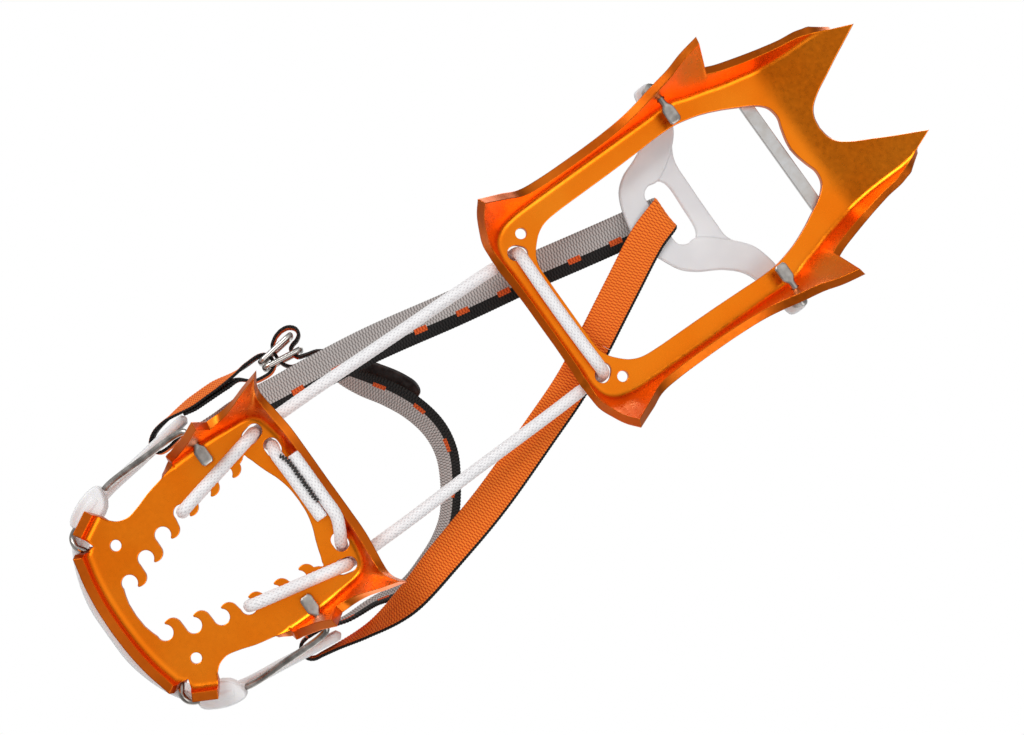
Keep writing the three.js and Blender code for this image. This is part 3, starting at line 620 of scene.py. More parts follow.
def station_profile(hole, bend, rim, depth):
    """Rows from the opening to the rim: x, y, the fall below the plate, and the turn there."""
    reach = math.dist(bend, rim)
    out = (np.array(rim) - bend) / reach
    to_rim = math.hypot(reach, BEND_RADIUS - depth)
    if to_rim > BEND_RADIUS:
        flare = max(0.0, math.atan2(reach, BEND_RADIUS - depth) - math.acos(BEND_RADIUS / to_rim))
    else:
        flare = math.asin(min(1.0, reach / BEND_RADIUS))
    rows = []
    for share in np.linspace(0, 1, FLAT_ROWS, endpoint=False):
        spot = np.array(hole) + (np.array(bend) - hole) * share
        rows.append((*spot, 0.0, 0.0, *out))
    for i in range(BEND_ROWS):
        turn = flare * i / (BEND_ROWS - 1)
        away = max(BEND_RADIUS * math.sin(turn), LEAST_BEND_STEP * i)
        spot = np.array(bend) + out * away
        rows.append((*spot, BEND_RADIUS * (1 - math.cos(turn)), turn, *out))
    start_away, start_down = away, rows[-1][2]
    end_away = max(reach, start_away + 0.1)
    end_down = depth if to_rim > BEND_RADIUS else start_down + 0.1
    for share in np.linspace(0, 1, FALL_ROWS + 1)[1:]:
        spot = np.array(bend) + out * (start_away + (end_away - start_away) * share)
        rows.append((*spot, start_down + (end_down - start_down) * share, flare, *out))
    return np.array(rows)


def formed_sheet(name, stations, dips):
    """The whole bent sheet, from its half list of stations and their mirror image."""
    places = np.linspace(0, len(stations) - 1, (len(stations) - 1) * STATION_STEPS + 1)
    snaps = [i for i, s in enumerate(stations) if s["corner"] == "snap"]
    tips = [i for i, s in enumerate(stations) if s["corner"]]
    holes = curve_points([s["hole"] for s in stations], places, corners=snaps)
    bends = curve_points([s["bend"] for s in stations], places, corners=snaps)
    rims = curve_points([[*s["rim"], s["depth"]] for s in stations], places, corners=tips)
    loops = []
    for hole, bend, rim in zip(holes, bends, rims):
        rows = station_profile(hole, bend, rim[:2], max(0.0, rim[2]))
        x, y, down, turn, out_x, out_y = rows.T
        drop, slope = dip_at(y) if dips else (0 * y, 0 * y)
        normal = unit(np.stack([np.sin(turn) * out_x, np.sin(turn) * out_y - slope * np.cos(turn),
                                np.cos(turn)], axis=1))
        inner = np.stack([x, y, PLATE_BOTTOM - down - drop], axis=1)
        outer = inner + normal * SHEET
        loops.append(np.vstack([inner, outer[::-1]]))
    loops += [loop * [-1, 1, 1] for loop in loops[-2:0:-1]]
    columns = loops[0].shape[0]
    points = placed(np.vstack(loops))
    sheet = make_mesh(name, points, grid_faces(len(loops), columns, True), [ORANGE, SHADED_CUT_EDGE])
    return mark_cut_edges(sheet, columns)


def mark_cut_edges(sheet, columns):
    """The sheet's sawn edges, at the rim and round the opening, get their own finish, darker than the plate
    as painted shade.
    """
    half = columns // 2
    for face in sheet.data.polygons:
        spots = {v % columns for v in face.vertices}
        if spots == {half - 1, half} or spots == {0, columns - 1}:
            face.material_index = 1
    return sheet


def hook_opening():
    """The heel opening: a curved front edge, hooks down each side and a straight rear edge."""
    right = [[0, 151.3], [4.5, 151], [7.6, 150.2]]
    for centre in HOOK_CENTRES:
        tip = arc(centre, HOOK_RADIUS + HOOK_TIP_RADIUS, HOOK_TIP_HEADING, HOOK_TIP_HEADING, 1)[0]
        right += arc(centre, HOOK_RADIUS, 100, HOOK_TIP_HEADING, 22)
        right += arc(tip, HOOK_TIP_RADIUS, HOOK_TIP_HEADING + 180, 160, 6)
        right += arc([centre[0], centre[1] - HOOK_LOBE_STEP], HOOK_LOBE_RADIUS, 160.5, 265, 10)
    right += [[22.3, 92.2], [20, 91.5], [17, 90.5], [14, 89.4], [10, 87.8], [5, 86.6], [0, 86.3]]
    return right + mirrored(right[1:-1], -1)[::-1]


def plate_hole(name, outline):
    return prism(name, outline, PLATE_BOTTOM - 5, PLATE_TOP + 5, SHADED_CUT_EDGE)


def wire_bore(route):
    return tube("bore", route, WIRE_RADIUS + GAP, SHADED_CUT_EDGE)


def side_cutters(cord_slots, small_hole, wire_route):
    """The cutters on both sides of a plate: its cord slots, its small hole and its wire's bore."""
    cutters = []
    for side in (1, -1):
        for ends in cord_slots:
            cutters.append(plate_hole("slot", capsule(*mirrored(ends, side), CORD_SLOT_RADIUS)))
        centre = mirrored([small_hole], side)[0]
        cutters.append(plate_hole("hole", arc(centre, SMALL_HOLE_RADIUS, 0, 360, 32)[:-1]))
        cutters.append(wire_bore(wire_route(side)))
    return cutters


def front_frame():
    sheet = formed_sheet("front_plate", FRONT_STATIONS, True)
    crisp(carve(sheet, side_cutters([FRONT_CORD_SLOT], FRONT_SMALL_HOLE, toe_wire_route)))
    settle(sheet, "front", "orange_metal", "front_frame")


def heel_frame():
    sheet = formed_sheet("heel_plate", HEEL_STATIONS, False)
    cutters = [prism("opening", hook_opening(), PLATE_BOTTOM - 1, PLATE_TOP + 1, SHADED_CUT_EDGE)]
    cord_slots = (HEEL_CORD_SLOT_OUTER, HEEL_CORD_SLOT_INNER)
    cutters += side_cutters(cord_slots, HEEL_SMALL_HOLE, side_wire_route)
    cutters.append(wire_bore(rear_wire_route()))
    crisp(carve(sheet, cutters))
    settle(sheet, "heel", "orange_metal", "heel_frame")


# ---------------------------------------------------------------- wires, bar and rings

TOE_WIRE_TOP = RING_TOP + 1.4
SIDE_BORE_Y = 103
SIDE_BORE_Z = PLATE_BOTTOM - 3.8


def toe_wire_route(side):
    y, z = TOE_PIVOT_Y, TOE_PIVOT_Z
    return mirrored([[35.4, y, z], [40, y, z], [43.4, y, z], [44.5, y, z + 1.4], [44.4, y, z + 8],
                     [44.4, y, TOE_WIRE_TOP]], side)


def side_wire_route(side):
    y, z = SIDE_BORE_Y, SIDE_BORE_Z
    return mirrored([[32.8, y, z], [38, y, z], [39.9, y + 0.5, z + 0.3], [40.8, 106.5, 22], [41, 120, 28.2],
                     [41, 134, 34.6], [40.2, 138, 36], [39, 143, 37.2]], side)


def rear_wire_route():
    right = [[35, 148.4, 33], [34.6, 151.4, 28.6], [32.6, 153.6, 25.6], [29.6, 154, 24.6],
             [27.2, 152.6, 25.4], [25.4, 151.6, 27.8], [22, 152, 29], [14, 153.4, 29], [0, 153.8, 29]]
    return mirrored(right, -1) + right[-2::-1]


PADDLE_LENGTH = 5.2
PADDLE_NECK = 2.4
PADDLE_INTO_BORE = 1.6
PADDLE_TIP = 0.9
PADDLE_HALF_WIDTH = 2.2
PADDLE_HALF_THICKNESS = 0.78


def paddle_wire(name, route, side):
    """A wire whose inner end is hammered flat, so that it can't slip out of its hole."""
    reach = PADDLE_LENGTH + PADDLE_NECK - PADDLE_INTO_BORE
    head = [[route[0][0] - side * reach, *route[0][1:]]]
    places, lengths = even_places(head + route, 0.4)
    path = curve_points(head + route, places)
    angles = np.linspace(0, 2 * math.pi, 24, endpoint=False)
    across, up = steady_frames(path)
    flatness = np.clip((PADDLE_LENGTH + PADDLE_NECK - lengths) / PADDLE_NECK, 0, 1)
    flatness = flatness * flatness * (3 - 2 * flatness)
    tip = np.clip(lengths / PADDLE_TIP, 0, 1) * 0.3 + 0.7
    wide = WIRE_RADIUS + (PADDLE_HALF_WIDTH - WIRE_RADIUS) * flatness
    thin = WIRE_RADIUS + (PADDLE_HALF_THICKNESS - WIRE_RADIUS) * flatness
    squareness = 1 - 0.5 * flatness
    rim_x = np.sign(np.cos(angles)) * np.abs(np.cos(angles)) ** squareness[:, None]
    rim_y = np.sign(np.sin(angles)) * np.abs(np.sin(angles)) ** squareness[:, None]
    flat_way, thick_way = (across, up) if abs(across[0][1]) > 0.5 else (up, across)
    loops = swept(path, flat_way, thick_way, rim_x * (wide * tip)[:, None], rim_y * (thin * tip)[:, None])
    return crisp(make_mesh(name, *loop_skin(loops), [STEEL]), 40)


def flat_piece(name, outline, bottom, top, material, holes=(), edge=0.6, smoothing=6):
    """A flat moulding or bar with rounded edges, drawn as a smooth outline."""
    data = bpy.data.curves.new(name, "CURVE")
    data.dimensions = "2D"
    data.fill_mode = "BOTH"
    data.bevel_depth = edge * MM
    data.bevel_resolution = 3
    data.offset = -edge * MM
    data.extrude = ((top - bottom) / 2 - edge) * MM
    for ring in (outline, *holes):
        count = len(ring) * smoothing
        places = np.linspace(0, len(ring), count, endpoint=False)
        smooth = curve_points(ring, places, closed=True) if smoothing > 1 else np.array(ring, float)
        spots = placed(np.column_stack([smooth, np.zeros(len(smooth))]))
        spline = data.splines.new("POLY")
        spline.points.add(len(spots) - 1)
        for point, spot in zip(spline.points, spots):
            point.co = (*spot, 1.0)
        spline.use_cyclic_u = True
    drawn = linked(name, data)
    bpy.context.view_layer.update()
    solid = finalised(drawn)
    solid.name = name
    bm = bmesh.new()
    bm.from_mesh(solid.data)
    bmesh.ops.remove_doubles(bm, verts=bm.verts, dist=2e-6)
    bmesh.ops.translate(bm, verts=bm.verts, vec=(0, 0, (top + bottom) / 2 * MM))
    bmesh.ops.recalc_face_normals(bm, faces=bm.faces)
    bm.to_mesh(solid.data)
    bm.free()
    solid.data.materials.clear()
    solid.data.materials.append(material)
    return crisp(solid, 40)


def rounded_box(left, right, front, rear, radius):
    corners = [(right - radius, rear - radius, 0), (left + radius, rear - radius, 90),
               (left + radius, front + radius, 180), (right - radius, front + radius, 270)]
    points = []
    for x, y, start in corners:
        points += arc([x, y], radius, start, start + 90, 8)
    return points


def toe_bar():
    low, high = BAR_LOW / MM, BAR_HIGH / MM
    outline = rounded_box(low.x, high.x, low.y + MIDDLE_Y, high.y + MIDDLE_Y, 2.2)
    bar = flat_piece("flat_bar", outline, low.z, high.z, BAR_STEEL, edge=0.25, smoothing=1)
    settle(bar, "front", "steel", "toe_bar")


RING_EYE_Y = 70
RING_REACH = 13.6
RING_BAR = 1.8
RING_HEIGHT = 17.6
RING_CORNER = 1.7
RING_LEAN = 0.13
BUCKLE_Z = 49.0


def buckle_ring(name, x, lean, body, node):
    """A wire ring standing on edge, with one long side in the webbing's eye."""
    half = (RING_HEIGHT - RING_BAR) / 2
    route = [[x + reach * math.sin(lean), RING_EYE_Y - reach * math.cos(lean), BUCKLE_Z + height]
             for reach, height in rounded_box(0, RING_REACH, -half, half, RING_CORNER)]
    ring = tube(name, route, RING_BAR / 2, BRIGHT_STEEL, step=0.35, sides=20, closed=True)
    settle(ring, body, "steel", node)


def wires():
    for word, side in (("right", 1), ("left", -1)):
        toe = paddle_wire(f"toe_wire_{word}_rod", toe_wire_route(side), side)
        settle(toe, "toe_ring", "steel", f"toe_wire_{word}")
        rod = paddle_wire(f"heel_wire_{word}_rod", side_wire_route(side), side)
        settle(rod, "heel", "steel", f"heel_side_wire_{word}")
    rear = tube("rear_wire_rod", rear_wire_route(), WIRE_RADIUS, STEEL, step=0.5)
    settle(rear, "heel", "steel", "heel_rear_wire")
    buckle_ring("ring_inner", -43.3, RING_LEAN, "inner_ring", "buckle_ring_inner")
    buckle_ring("ring_outer", -45.7, -RING_LEAN, "outer_ring", "buckle_ring_outer")


# ---------------------------------------------------------------- plastic parts

RING_OUTLINE = [
    [-46.6, -92.4], [-44.6, -93.6], [-38, -92.2], [-30, -91.2], [-24.5, -87], [-19.5, -84.6],
    [-10, -84], [6, -83.8], [11.5, -84], [15, -86], [20, -89.8], [28, -92], [38, -92.4],
    [44.6, -93.6], [46.6, -92.4], [47, -89.6], [46.4, -86.8], [42, -85.6], [34, -84.6], [26, -82],
    [20.4, -76.6], [15.6, -68.6], [12, -64.6], [7.4, -62], [-3, -58], [-8.5, -58], [-15.6, -59.6],
    [-22, -62.6], [-25.7, -67], [-28, -73], [-30.4, -78], [-34, -83.4], [-42, -85.6], [-46.4, -86.8],
    [-47, -89.6],
]
RING_SLOT = [
    [-15, -77.4], [-5, -77.4], [3.6, -76.6], [5.8, -75], [5.8, -71.4], [4, -68.8], [-3, -68.4],
    [-12, -68.4], [-16, -69], [-17.8, -71.6], [-17.4, -75.6],
]
FRONT_BAR_STEP = 0.7
BAND_STEP = 0.4


def toe_ring():
    """The toe ring: a thick curved band with its arms, and a thinner bar in front of its slot."""
    bar = flat_piece("toe_ring_bar", RING_OUTLINE, RING_BOTTOM + FRONT_BAR_STEP, RING_TOP,
                     RING_PLASTIC, holes=[RING_SLOT], edge=0.8)
    band_outline = RING_OUTLINE[:5] + RING_SLOT[10:2:-1] + RING_OUTLINE[9:]
    band = flat_piece("toe_ring_band", band_outline, RING_BOTTOM, RING_TOP - BAND_STEP, RING_PLASTIC,
                      edge=0.8)
    ring = join([bar, band], "toe_ring_moulding")
    settle(ring, "toe_ring", "white_plastic", "toe_ring")


CUP_OUTER = [[0, 163], [11, 162.6], [21, 160.2], [29.5, 156.4], [35.3, 151.8], [38.8, 146.2], [41.2, 139],
             [43.8, 122], [46.8, 101.4]]
CUP_INNER = [[0, 160], [10.6, 159.6], [20, 157], [27.8, 153.4], [33, 149.4], [36, 144.6], [38.2, 138],
             [40.8, 122], [43.8, 101.4]]
CUP_BOTTOM = CUP_LOW.z / MM
CUP_LOWER_EDGE = [[101.6, 45], [102.4, 41.8], [104.4, 40], [114, 38.6], [126, 37.6], [134, 37],
                  [137.6, 34], [140, CUP_BOTTOM], [165, CUP_BOTTOM]]
CUP_UPPER_EDGE = [[101.6, 52.4], [102.4, 55.4], [104.4, 57.2], [108, 58.4], [124, 58], [136, 52.6],
                  [150, 50.4], [165, 51]]
CUP_EDGE_RADIUS = 1.2
# Front, rear, bottom and top of the slot in each arm, and how far across its cutter reaches.
ARM_SLOT_SIDES = (113.6, 119.6, 41.6, 55.6)
ARM_SLOT_CORNER = 1.4
ARM_SLOT_SPAN = (34, 56)
LUG = [[35.2, 139.4], [42.4, 137.4], [43, 140.2], [41, 147], [37, 152], [32, 149.4]]
LUG_TOP = 41
LUG_STEP = 0.3


def cup_wall():
    """The cup's wall: a rounded strip swept round the heel from one arm to the other."""
    half_places, lengths = even_places(CUP_OUTER, 1.0)
    outer = curve_points(CUP_OUTER, half_places)
    inner = curve_points(CUP_INNER, half_places)
    from_end = lengths[-1] - lengths
    round_end = np.sqrt(np.clip(1 - (1 - np.clip(from_end / CUP_EDGE_RADIUS, 0.02, 1)) ** 2, 0.05, 1))
    loops = []
    for o, i, shrink in zip(outer, inner, round_end):
        middle = (o + i) / 2
        out = unit(o - i)
        thick = np.linalg.norm(o - i) / 2 * shrink
        low = np.interp(middle[1], *np.array(CUP_LOWER_EDGE).T)
        high = np.interp(middle[1], *np.array(CUP_UPPER_EDGE).T)
        trim = (1 - shrink) * CUP_EDGE_RADIUS
        radius = min(CUP_EDGE_RADIUS, thick * 0.95)
        section = rounded_box(-thick, thick, low + trim, high - trim, radius)
        loops.append([[middle[0] + out[0] * a, middle[1] + out[1] * a, z] for a, z in section])
    loops = np.array(loops)
    left = (loops * [-1, 1, 1])[:0:-1]
    whole = np.concatenate([left, loops])
    spots = placed(whole.reshape(-1, 3)).reshape(whole.shape)
    return make_mesh("heel_cup_wall", *loop_skin(spots), [PLASTIC])


def arm_slot(side):
    """A cutter for the slot that the strap passes through."""
    outline = rounded_box(*ARM_SLOT_SIDES, ARM_SLOT_CORNER)
    near, far = [placed([[side * x, y, z] for y, z in outline]) for x in ARM_SLOT_SPAN]
    return make_mesh("arm_slot", *loop_skin([near, far]), [PLASTIC], smooth=False)


def heel_cup():
    wall = crisp(carve(cup_wall(), [arm_slot(1), arm_slot(-1)]), 40)
    lugs = [flat_piece(f"lug_{side}", mirrored(LUG, side), CUP_BOTTOM + LUG_STEP, LUG_TOP, PLASTIC,
                       edge=0.9, smoothing=4)
            for side in (1, -1)]
    cup = join([wall, *lugs], "heel_cup_moulding")
    settle(cup, "heel", "white_plastic", "heel_cup")


# ---------------------------------------------------------------- cord

CORD_JOIN_Y = -12.4
FRONT_CORD_ROUTE = [
    [25.3, CORD_JOIN_Y, CORD_ABOVE], [25.2, -17.4, CORD_ABOVE - 0.2], [25, -20.6, PLATE_TOP - 0.4],
    [24, -21, PLATE_BOTTOM - 0.6], [20.4, -20.8, CORD_BELOW], [12, -20.6, CORD_BELOW], [0, -20.5, CORD_BELOW],
]
BRAID_STRANDS = 8
BRAID_DEPTH = 0.28
CORD_END_SHARE = 0.86
CORD_END_LENGTH = 0.8
CORD_STEP = 0.35
CORD_SIDES = 32


def link_cord_route(side):
    if side > 0:
        sewn_end = [[16.4, 81.2, 21.1], [11.6, 79.2, 19.5], [4, 79, 19.3], [-13.5, 79, 19.3]]
    else:
        sewn_end = [[16.4, 83.5, 21.1], [10, 83.4, 20.3], [4, 83.4, 20.3], [-9.5, 83.4, 20.3]]
    return mirrored([
        [25.3, CORD_JOIN_Y, CORD_ABOVE], [25.7, 0, CORD_ABOVE], [26.3, 34, CORD_ABOVE],
        [27, 68, CORD_ABOVE], [26.6, 84, CORD_ABOVE], [22.6, 104, CORD_ABOVE], [20.2, 114.6, CORD_ABOVE],
        [19, 119.3, PLATE_TOP - 1], [19.2, 118.4, PLATE_BOTTOM - 1.6], [20.6, 112.4, CORD_BELOW],
        [23.6, 98.6, CORD_BELOW], [25.8, 88.8, CORD_BELOW + 0.2], [26.7, 85.8, PLATE_BOTTOM + 0.6],
        [26, 85.1, PLATE_TOP + 1.4], [23.2, 84.3, CORD_ABOVE + 0.3], [20.3, 83.3, PLATE_TOP + 1.4],
        [19.4, 83, PLATE_BOTTOM + 0.6], *sewn_end,
    ], side)


def braided_cord(name, route):
    """A cord whose surface rises and falls with the strands of its braid."""
    places, lengths = even_places(route, CORD_STEP)
    path = curve_points(route, places)
    side, up = steady_frames(path)
    angles = np.linspace(0, 2 * math.pi, CORD_SIDES, endpoint=False)
    turn = BRAID_STRANDS / 2 * angles[None, :]
    travel = BRAID_STRANDS / 2 / CORD_RADIUS * lengths[:, None]
    strands = np.maximum(np.cos(turn + travel) ** 2, np.cos(turn - travel) ** 2)
    radius = CORD_RADIUS - BRAID_DEPTH * (1 - strands)
    fused = np.clip(np.minimum(lengths, lengths[-1] - lengths) / CORD_END_LENGTH, 0, 1)
    radius = radius * (CORD_END_SHARE + (1 - CORD_END_SHARE) * np.sqrt(fused))[:, None]
    loops = swept(path, side, up, radius * np.cos(angles), radius * np.sin(angles))
    cord = make_mesh(name, *loop_skin(loops), [CORD])
    heights = cord.data.attributes.new(STRAND_HEIGHT, "FLOAT", "POINT")
    heights.data.foreach_set("value", strands.ravel().astype(np.float32))
    return cord


# Where the long cords and straps would start and stop bending when the crampon folds, and where the
# strap's front fold would when the toe ring tilts; nothing here bends them.
FOLD_START = tuple(placed([[0, -10.1, CORD_ABOVE]])[0])
FOLD_END = tuple(placed([[0, 33.9, CORD_ABOVE]])[0])
TOE_BEND_START = tuple(placed([[0, -60.1, 32]])[0])
TOE_BEND_END = tuple(placed([[0, -26.1, 32]])[0])


def cords():
    front_half = FRONT_CORD_ROUTE
    front = braided_cord("crossbar_cord", front_half + mirrored(front_half[:-1], -1)[::-1])
    settle(front, "front", "white_cord", "front_cord")
    for word, side in (("right", 1), ("left", -1)):
        cord = braided_cord(f"long_cord_{word}", link_cord_route(side))
        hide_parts(f"link_cord_{word}")
        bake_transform(cord)


SEAM_START = [-15.5, 82.6, 17.4]
SEAM_CORNER = [-12.4, 81.4, 17.3]
SEAM_END = [4.6, 81.4, 17.3]
SEAM_STITCH = 0.55
SEAM_HALF_WIDTH = 0.75
SEAM_SINK = 0.27
SEAM_SINKS_PAST = 0.6
THREAD_RADIUS = 0.28


def seam_route():
    """A zigzag of thread: a short bar-tack, then the run between the two cord ends."""
    route = []
    for start, end in ((SEAM_START, SEAM_CORNER), (SEAM_CORNER, SEAM_END)):
        a, b = np.array(start, float), np.array(end, float)
        across = unit(np.array([-(b - a)[1], (b - a)[0], 0.0]))
        count = int(np.linalg.norm(b - a) / SEAM_STITCH)
        for i in range(count):
            swing = SEAM_HALF_WIDTH * (1 if i % 2 else -1) * (0.85 + 0.15 * math.sin(i * 2.3))
            sink = SEAM_SINK * abs(swing) if abs(swing) > SEAM_SINKS_PAST else 0
            spot = a + (b - a) * i / count + across * swing
            route.append([spot[0], spot[1], spot[2] - sink])
    return route


def stitching():
    thread = tube("cord_seam_thread", seam_route(), THREAD_RADIUS, THREAD, step=0.2, sides=8)
    settle(thread, "heel", "black_thread", "cord_splice_stitching")


# ---------------------------------------------------------------- webbing
# A point of a webbing route holds the middle of the webbing, then the direction across it.

def standing(plan, height):
    """Route points for webbing that stands on its edge at one height."""
    return [[x, y, height, 0, 0, 1] for x, y in plan]


ARM_Z = 48.6
TOE_SPLIT_Y = -26
ABOVE_RING = RING_TOP + GAP + STRAP_THICKNESS / 2
BELOW_RING = RING_BOTTOM - GAP - STRAP_THICKNESS / 2
TOE_FOLD_ROUTE = [
    [-16.65, TOE_SPLIT_Y + 0.15, 37, -0.98, -0.17, 0], [-12.8, -44, 36.6, -0.98, -0.17, 0],
    [-9.6, -60, ABOVE_RING, -1, -0.12, 0], [-8, -68.6, ABOVE_RING, -1, 0, 0],
    [-7.4, -70.8, RING_BOTTOM + 2.9, -1, 0, 0], [-6.8, -70.9, RING_BOTTOM + 0.5, -1, 0, 0],
    [-6, -68.8, BELOW_RING, -1, 0, 0], [-3.6, -61.4, BELOW_RING, -1, 0.1, 0],
    [5.2, -44, 31.9, -0.92, 0.39, 0], [14.7, TOE_SPLIT_Y + 0.15, 32.9, -0.92, 0.39, 0],
]
LEFT_RUN_ROUTE = [
    [-41.2, 106.8, ARM_Z, 0.06, 0.02, 1], [-40.6, 100, ARM_Z, -0.1, 0, 1], [-37.8, 90, 46, -0.6, 0, 0.8],
    [-34, 76, 42.2, -0.97, -0.1, 0.2], [-32, 60, 40.6, -0.98, -0.17, 0.05],
    [-28.6, 36, 39.4, -0.98, -0.17, 0], [-22, 4, 38, -0.98, -0.17, 0],
    [-16.65, TOE_SPLIT_Y + 0.15, 37, -0.98, -0.17, 0],
]
RIGHT_RUN_ROUTE = [
    [14.7, TOE_SPLIT_Y + 0.15, 32.9, -0.92, 0.39, 0], [22, -11, 33.7, -0.92, 0.39, 0],
    [29, 8, 34.6, -0.93, 0.36, 0], [38, 34, 36.4, -0.95, 0.3, 0.05], [44.4, 58, 38.4, -0.93, 0.2, 0.3],
    [49, 76, 41.6, -0.75, 0.1, 0.6], [49.8, 92, 46.2, -0.3, 0, 0.95], [48.4, 104, ARM_Z, -0.08, 0, 1],
    [47.4, 110.4, ARM_Z, -0.02, 0, 1],
    *standing([[46.9, 113.4], [45.6, 115], [43.6, 115.6], [41.4, 115.2], [40.1, 113.8], [39.6, 111.4]],
              ARM_Z),
]
ANKLE_ROUTE = [
    [39.6, 111.4, ARM_Z, 0, 0, 1], [40.1, 106, ARM_Z + 0.6, 0, 0, 1], [42.6, 97, 51.4, -0.1, 0, 1],
    [43.6, 86, 55.7, -0.2, 0, 0.97], [45.6, 74, 55, -0.37, 0.08, 0.92], [43, 63.5, 54, -0.41, 0.15, 0.9],
    [39.5, 55, 52.6, -0.4, 0.24, 0.88], [34.5, 48, 52, -0.37, 0.32, 0.87],
    [24.6, 40.4, 51.5, -0.3, 0.44, 0.85], [16, 36, 51.5, -0.21, 0.56, 0.8],
    [7, 34.7, 51.5, -0.03, 0.65, 0.76], [-3, 36.6, 51.5, 0.2, 0.64, 0.74],
    [-12, 40.7, 51.5, 0.34, 0.58, 0.73], [-19, 45.2, 51.5, 0.38, 0.54, 0.76],
    [-26, 49.4, 51, 0.32, 0.36, 0.87], [-33, 52.2, 50, 0.15, 0.15, 1],
    [-36.8, 55.4, BUCKLE_Z + 0.3, 0, 0, 1],
    [-37.6, 59.4, BUCKLE_Z + 0.1, 0, 0, 1],
    *standing([[-38.6, 62.4], [-41, 64.1], [-44.4, 64.5], [-48, 63.6], [-50.1, 60.85]], BUCKLE_Z),
]
TAIL_ROUTE = [
    *standing([[-50.1, 60.85], [-50.7, 58], [-50.2, 55.4], [-48.4, 53.7], [-46.3, 53.9], [-45, 55.6],
               [-44.5, 57.6], [-43.6, 59.1], [-41.8, 59.4], [-40, 58.5]], BUCKLE_Z),
    [-39.1, 56, BUCKLE_Z + 0.1, 0, 0, 1],
    [-37.6, 52.2, BUCKLE_Z + 0.5, 0.05, 0.05, 1], [-33.2, 48.4, 50, 0.15, 0.15, 1],
    [-27.4, 45.2, 50.8, 0.3, 0.36, 0.87], [-20.6, 41.2, 51.8, 0.38, 0.54, 0.76],
    [-13.6, 36.8, 52, 0.34, 0.58, 0.73], [-5, 33, 52, 0.2, 0.64, 0.74],
]
# The end sewn round the rings: its inner layer, the eye, the outer layer and the arm's slot.
BUCKLE_END_PLAN = [
    [-47.05, 101.4], [-47.05, 96], [-46.3, 84], [-45.4, 79.6], [-41.9, 75.6], [-41.1, 72.6], [-41.1, 69],
    [-42.4, 66.8], [-44.5, 66.2], [-46.6, 66.8], [-47.9, 69], [-48.05, 74.4], [-47.9, 79.6], [-48.4, 88],
    [-48.35, 96], [-48.3, 107.8], [-47.15, 113], [-45, 115.9], [-42.6, 116.8], [-40.6, 115.7],
    [-40.1, 112], [-41.2, 106.8],
]
# How far the doubled end leans outwards at the top, along Y.
BUCKLE_END_LEAN = [[76, 0], [86, 0.34], [96, 0.36], [102, 0.16], [108, 0.04], [112, 0]]
WEB_STEP = 0.26
WEB_COLUMNS = 26
RIB_HEIGHT = 0.09
TOOTH = 0.14
COATED_LENGTH = 45
COATED_RIBS = 0.25
ROUND_TIP = 5.5


def webbing(name, route, coated=0.0, first_tick=0.0):
    """A length of webbing: ribbed on both faces, toothed at its edges, grey one side, orange the other."""
    route = np.array(route, float)
    places, lengths = even_places(route[:, :3], WEB_STEP)
    path = curve_points(route[:, :3], places)
    wide = curve_points(route[:, 3:], places)
    along = tangents(path)
    wide = unit(wide - along * np.sum(along * wide, axis=1, keepdims=True))
    thick = np.cross(along, wide)
    across = np.linspace(1, -1, WEB_COLUMNS + 1)
    loop_u = np.concatenate([across, across[-2:0:-1]])
    face = np.concatenate([np.ones(WEB_COLUMNS + 1), -np.ones(WEB_COLUMNS - 1)])
    column = np.floor((1 - loop_u) / 2 * RIB_COLUMNS)
    to_end = lengths[-1] - lengths
    ribbed = np.where(to_end < coated, COATED_RIBS, 1.0)[:, None]
    ribs = np.cos(2 * math.pi * (lengths[:, None] / RIB_PITCH + 0.5 * (column % 2)[None, :]))
    pillow = np.sqrt(np.clip(1 - np.abs(loop_u) ** 10, 0, 1))
    height = face * pillow * ((STRAP_THICKNESS - RIB_HEIGHT) / 2 + ribs * ribbed * RIB_HEIGHT)
    half = STRAP_WIDTH / 2 + TOOTH * (np.cos(2 * math.pi * lengths / RIB_PITCH) - 1) / 2 * ribbed[:, 0]
    if coated:
        into_tip = np.clip(1 - to_end / ROUND_TIP, 0, 0.995)
        half = half * (0.25 + 0.75 * np.sqrt(1 - into_tip ** 2))
    loops = swept(path, wide, thick, half[:, None] * loop_u, height)
    piece = make_mesh(name, *loop_skin(loops), [GREY_WEB, ORANGE_WEB, COATED_WEB])
    paint_webbing(piece, lengths, loop_u, lengths[-1] - coated, first_tick)
    return piece


def paint_webbing(piece, lengths, loop_u, coated_from, first_tick):
    """Sets each face's finish, and coordinates that run across and along the webbing."""
    columns = len(loop_u)
    data = piece.data
    layer = data.uv_layers.new(name="across_along")
    for face in data.polygons:
        rows = [v // columns for v in face.vertices]
        spots = [v % columns for v in face.vertices]
        grey = max(spots) <= WEB_COLUMNS and not (0 in spots and columns - 1 in spots)
        on_coat = lengths[min(rows)] > coated_from
        face.material_index = 2 if on_coat else 0 if grey else 1
        for corner, vertex in zip(face.loop_indices, face.vertices):
            u = (1 - loop_u[vertex % columns]) / 2
            layer.data[corner].uv = (u, (lengths[vertex // columns] + first_tick) * MM)


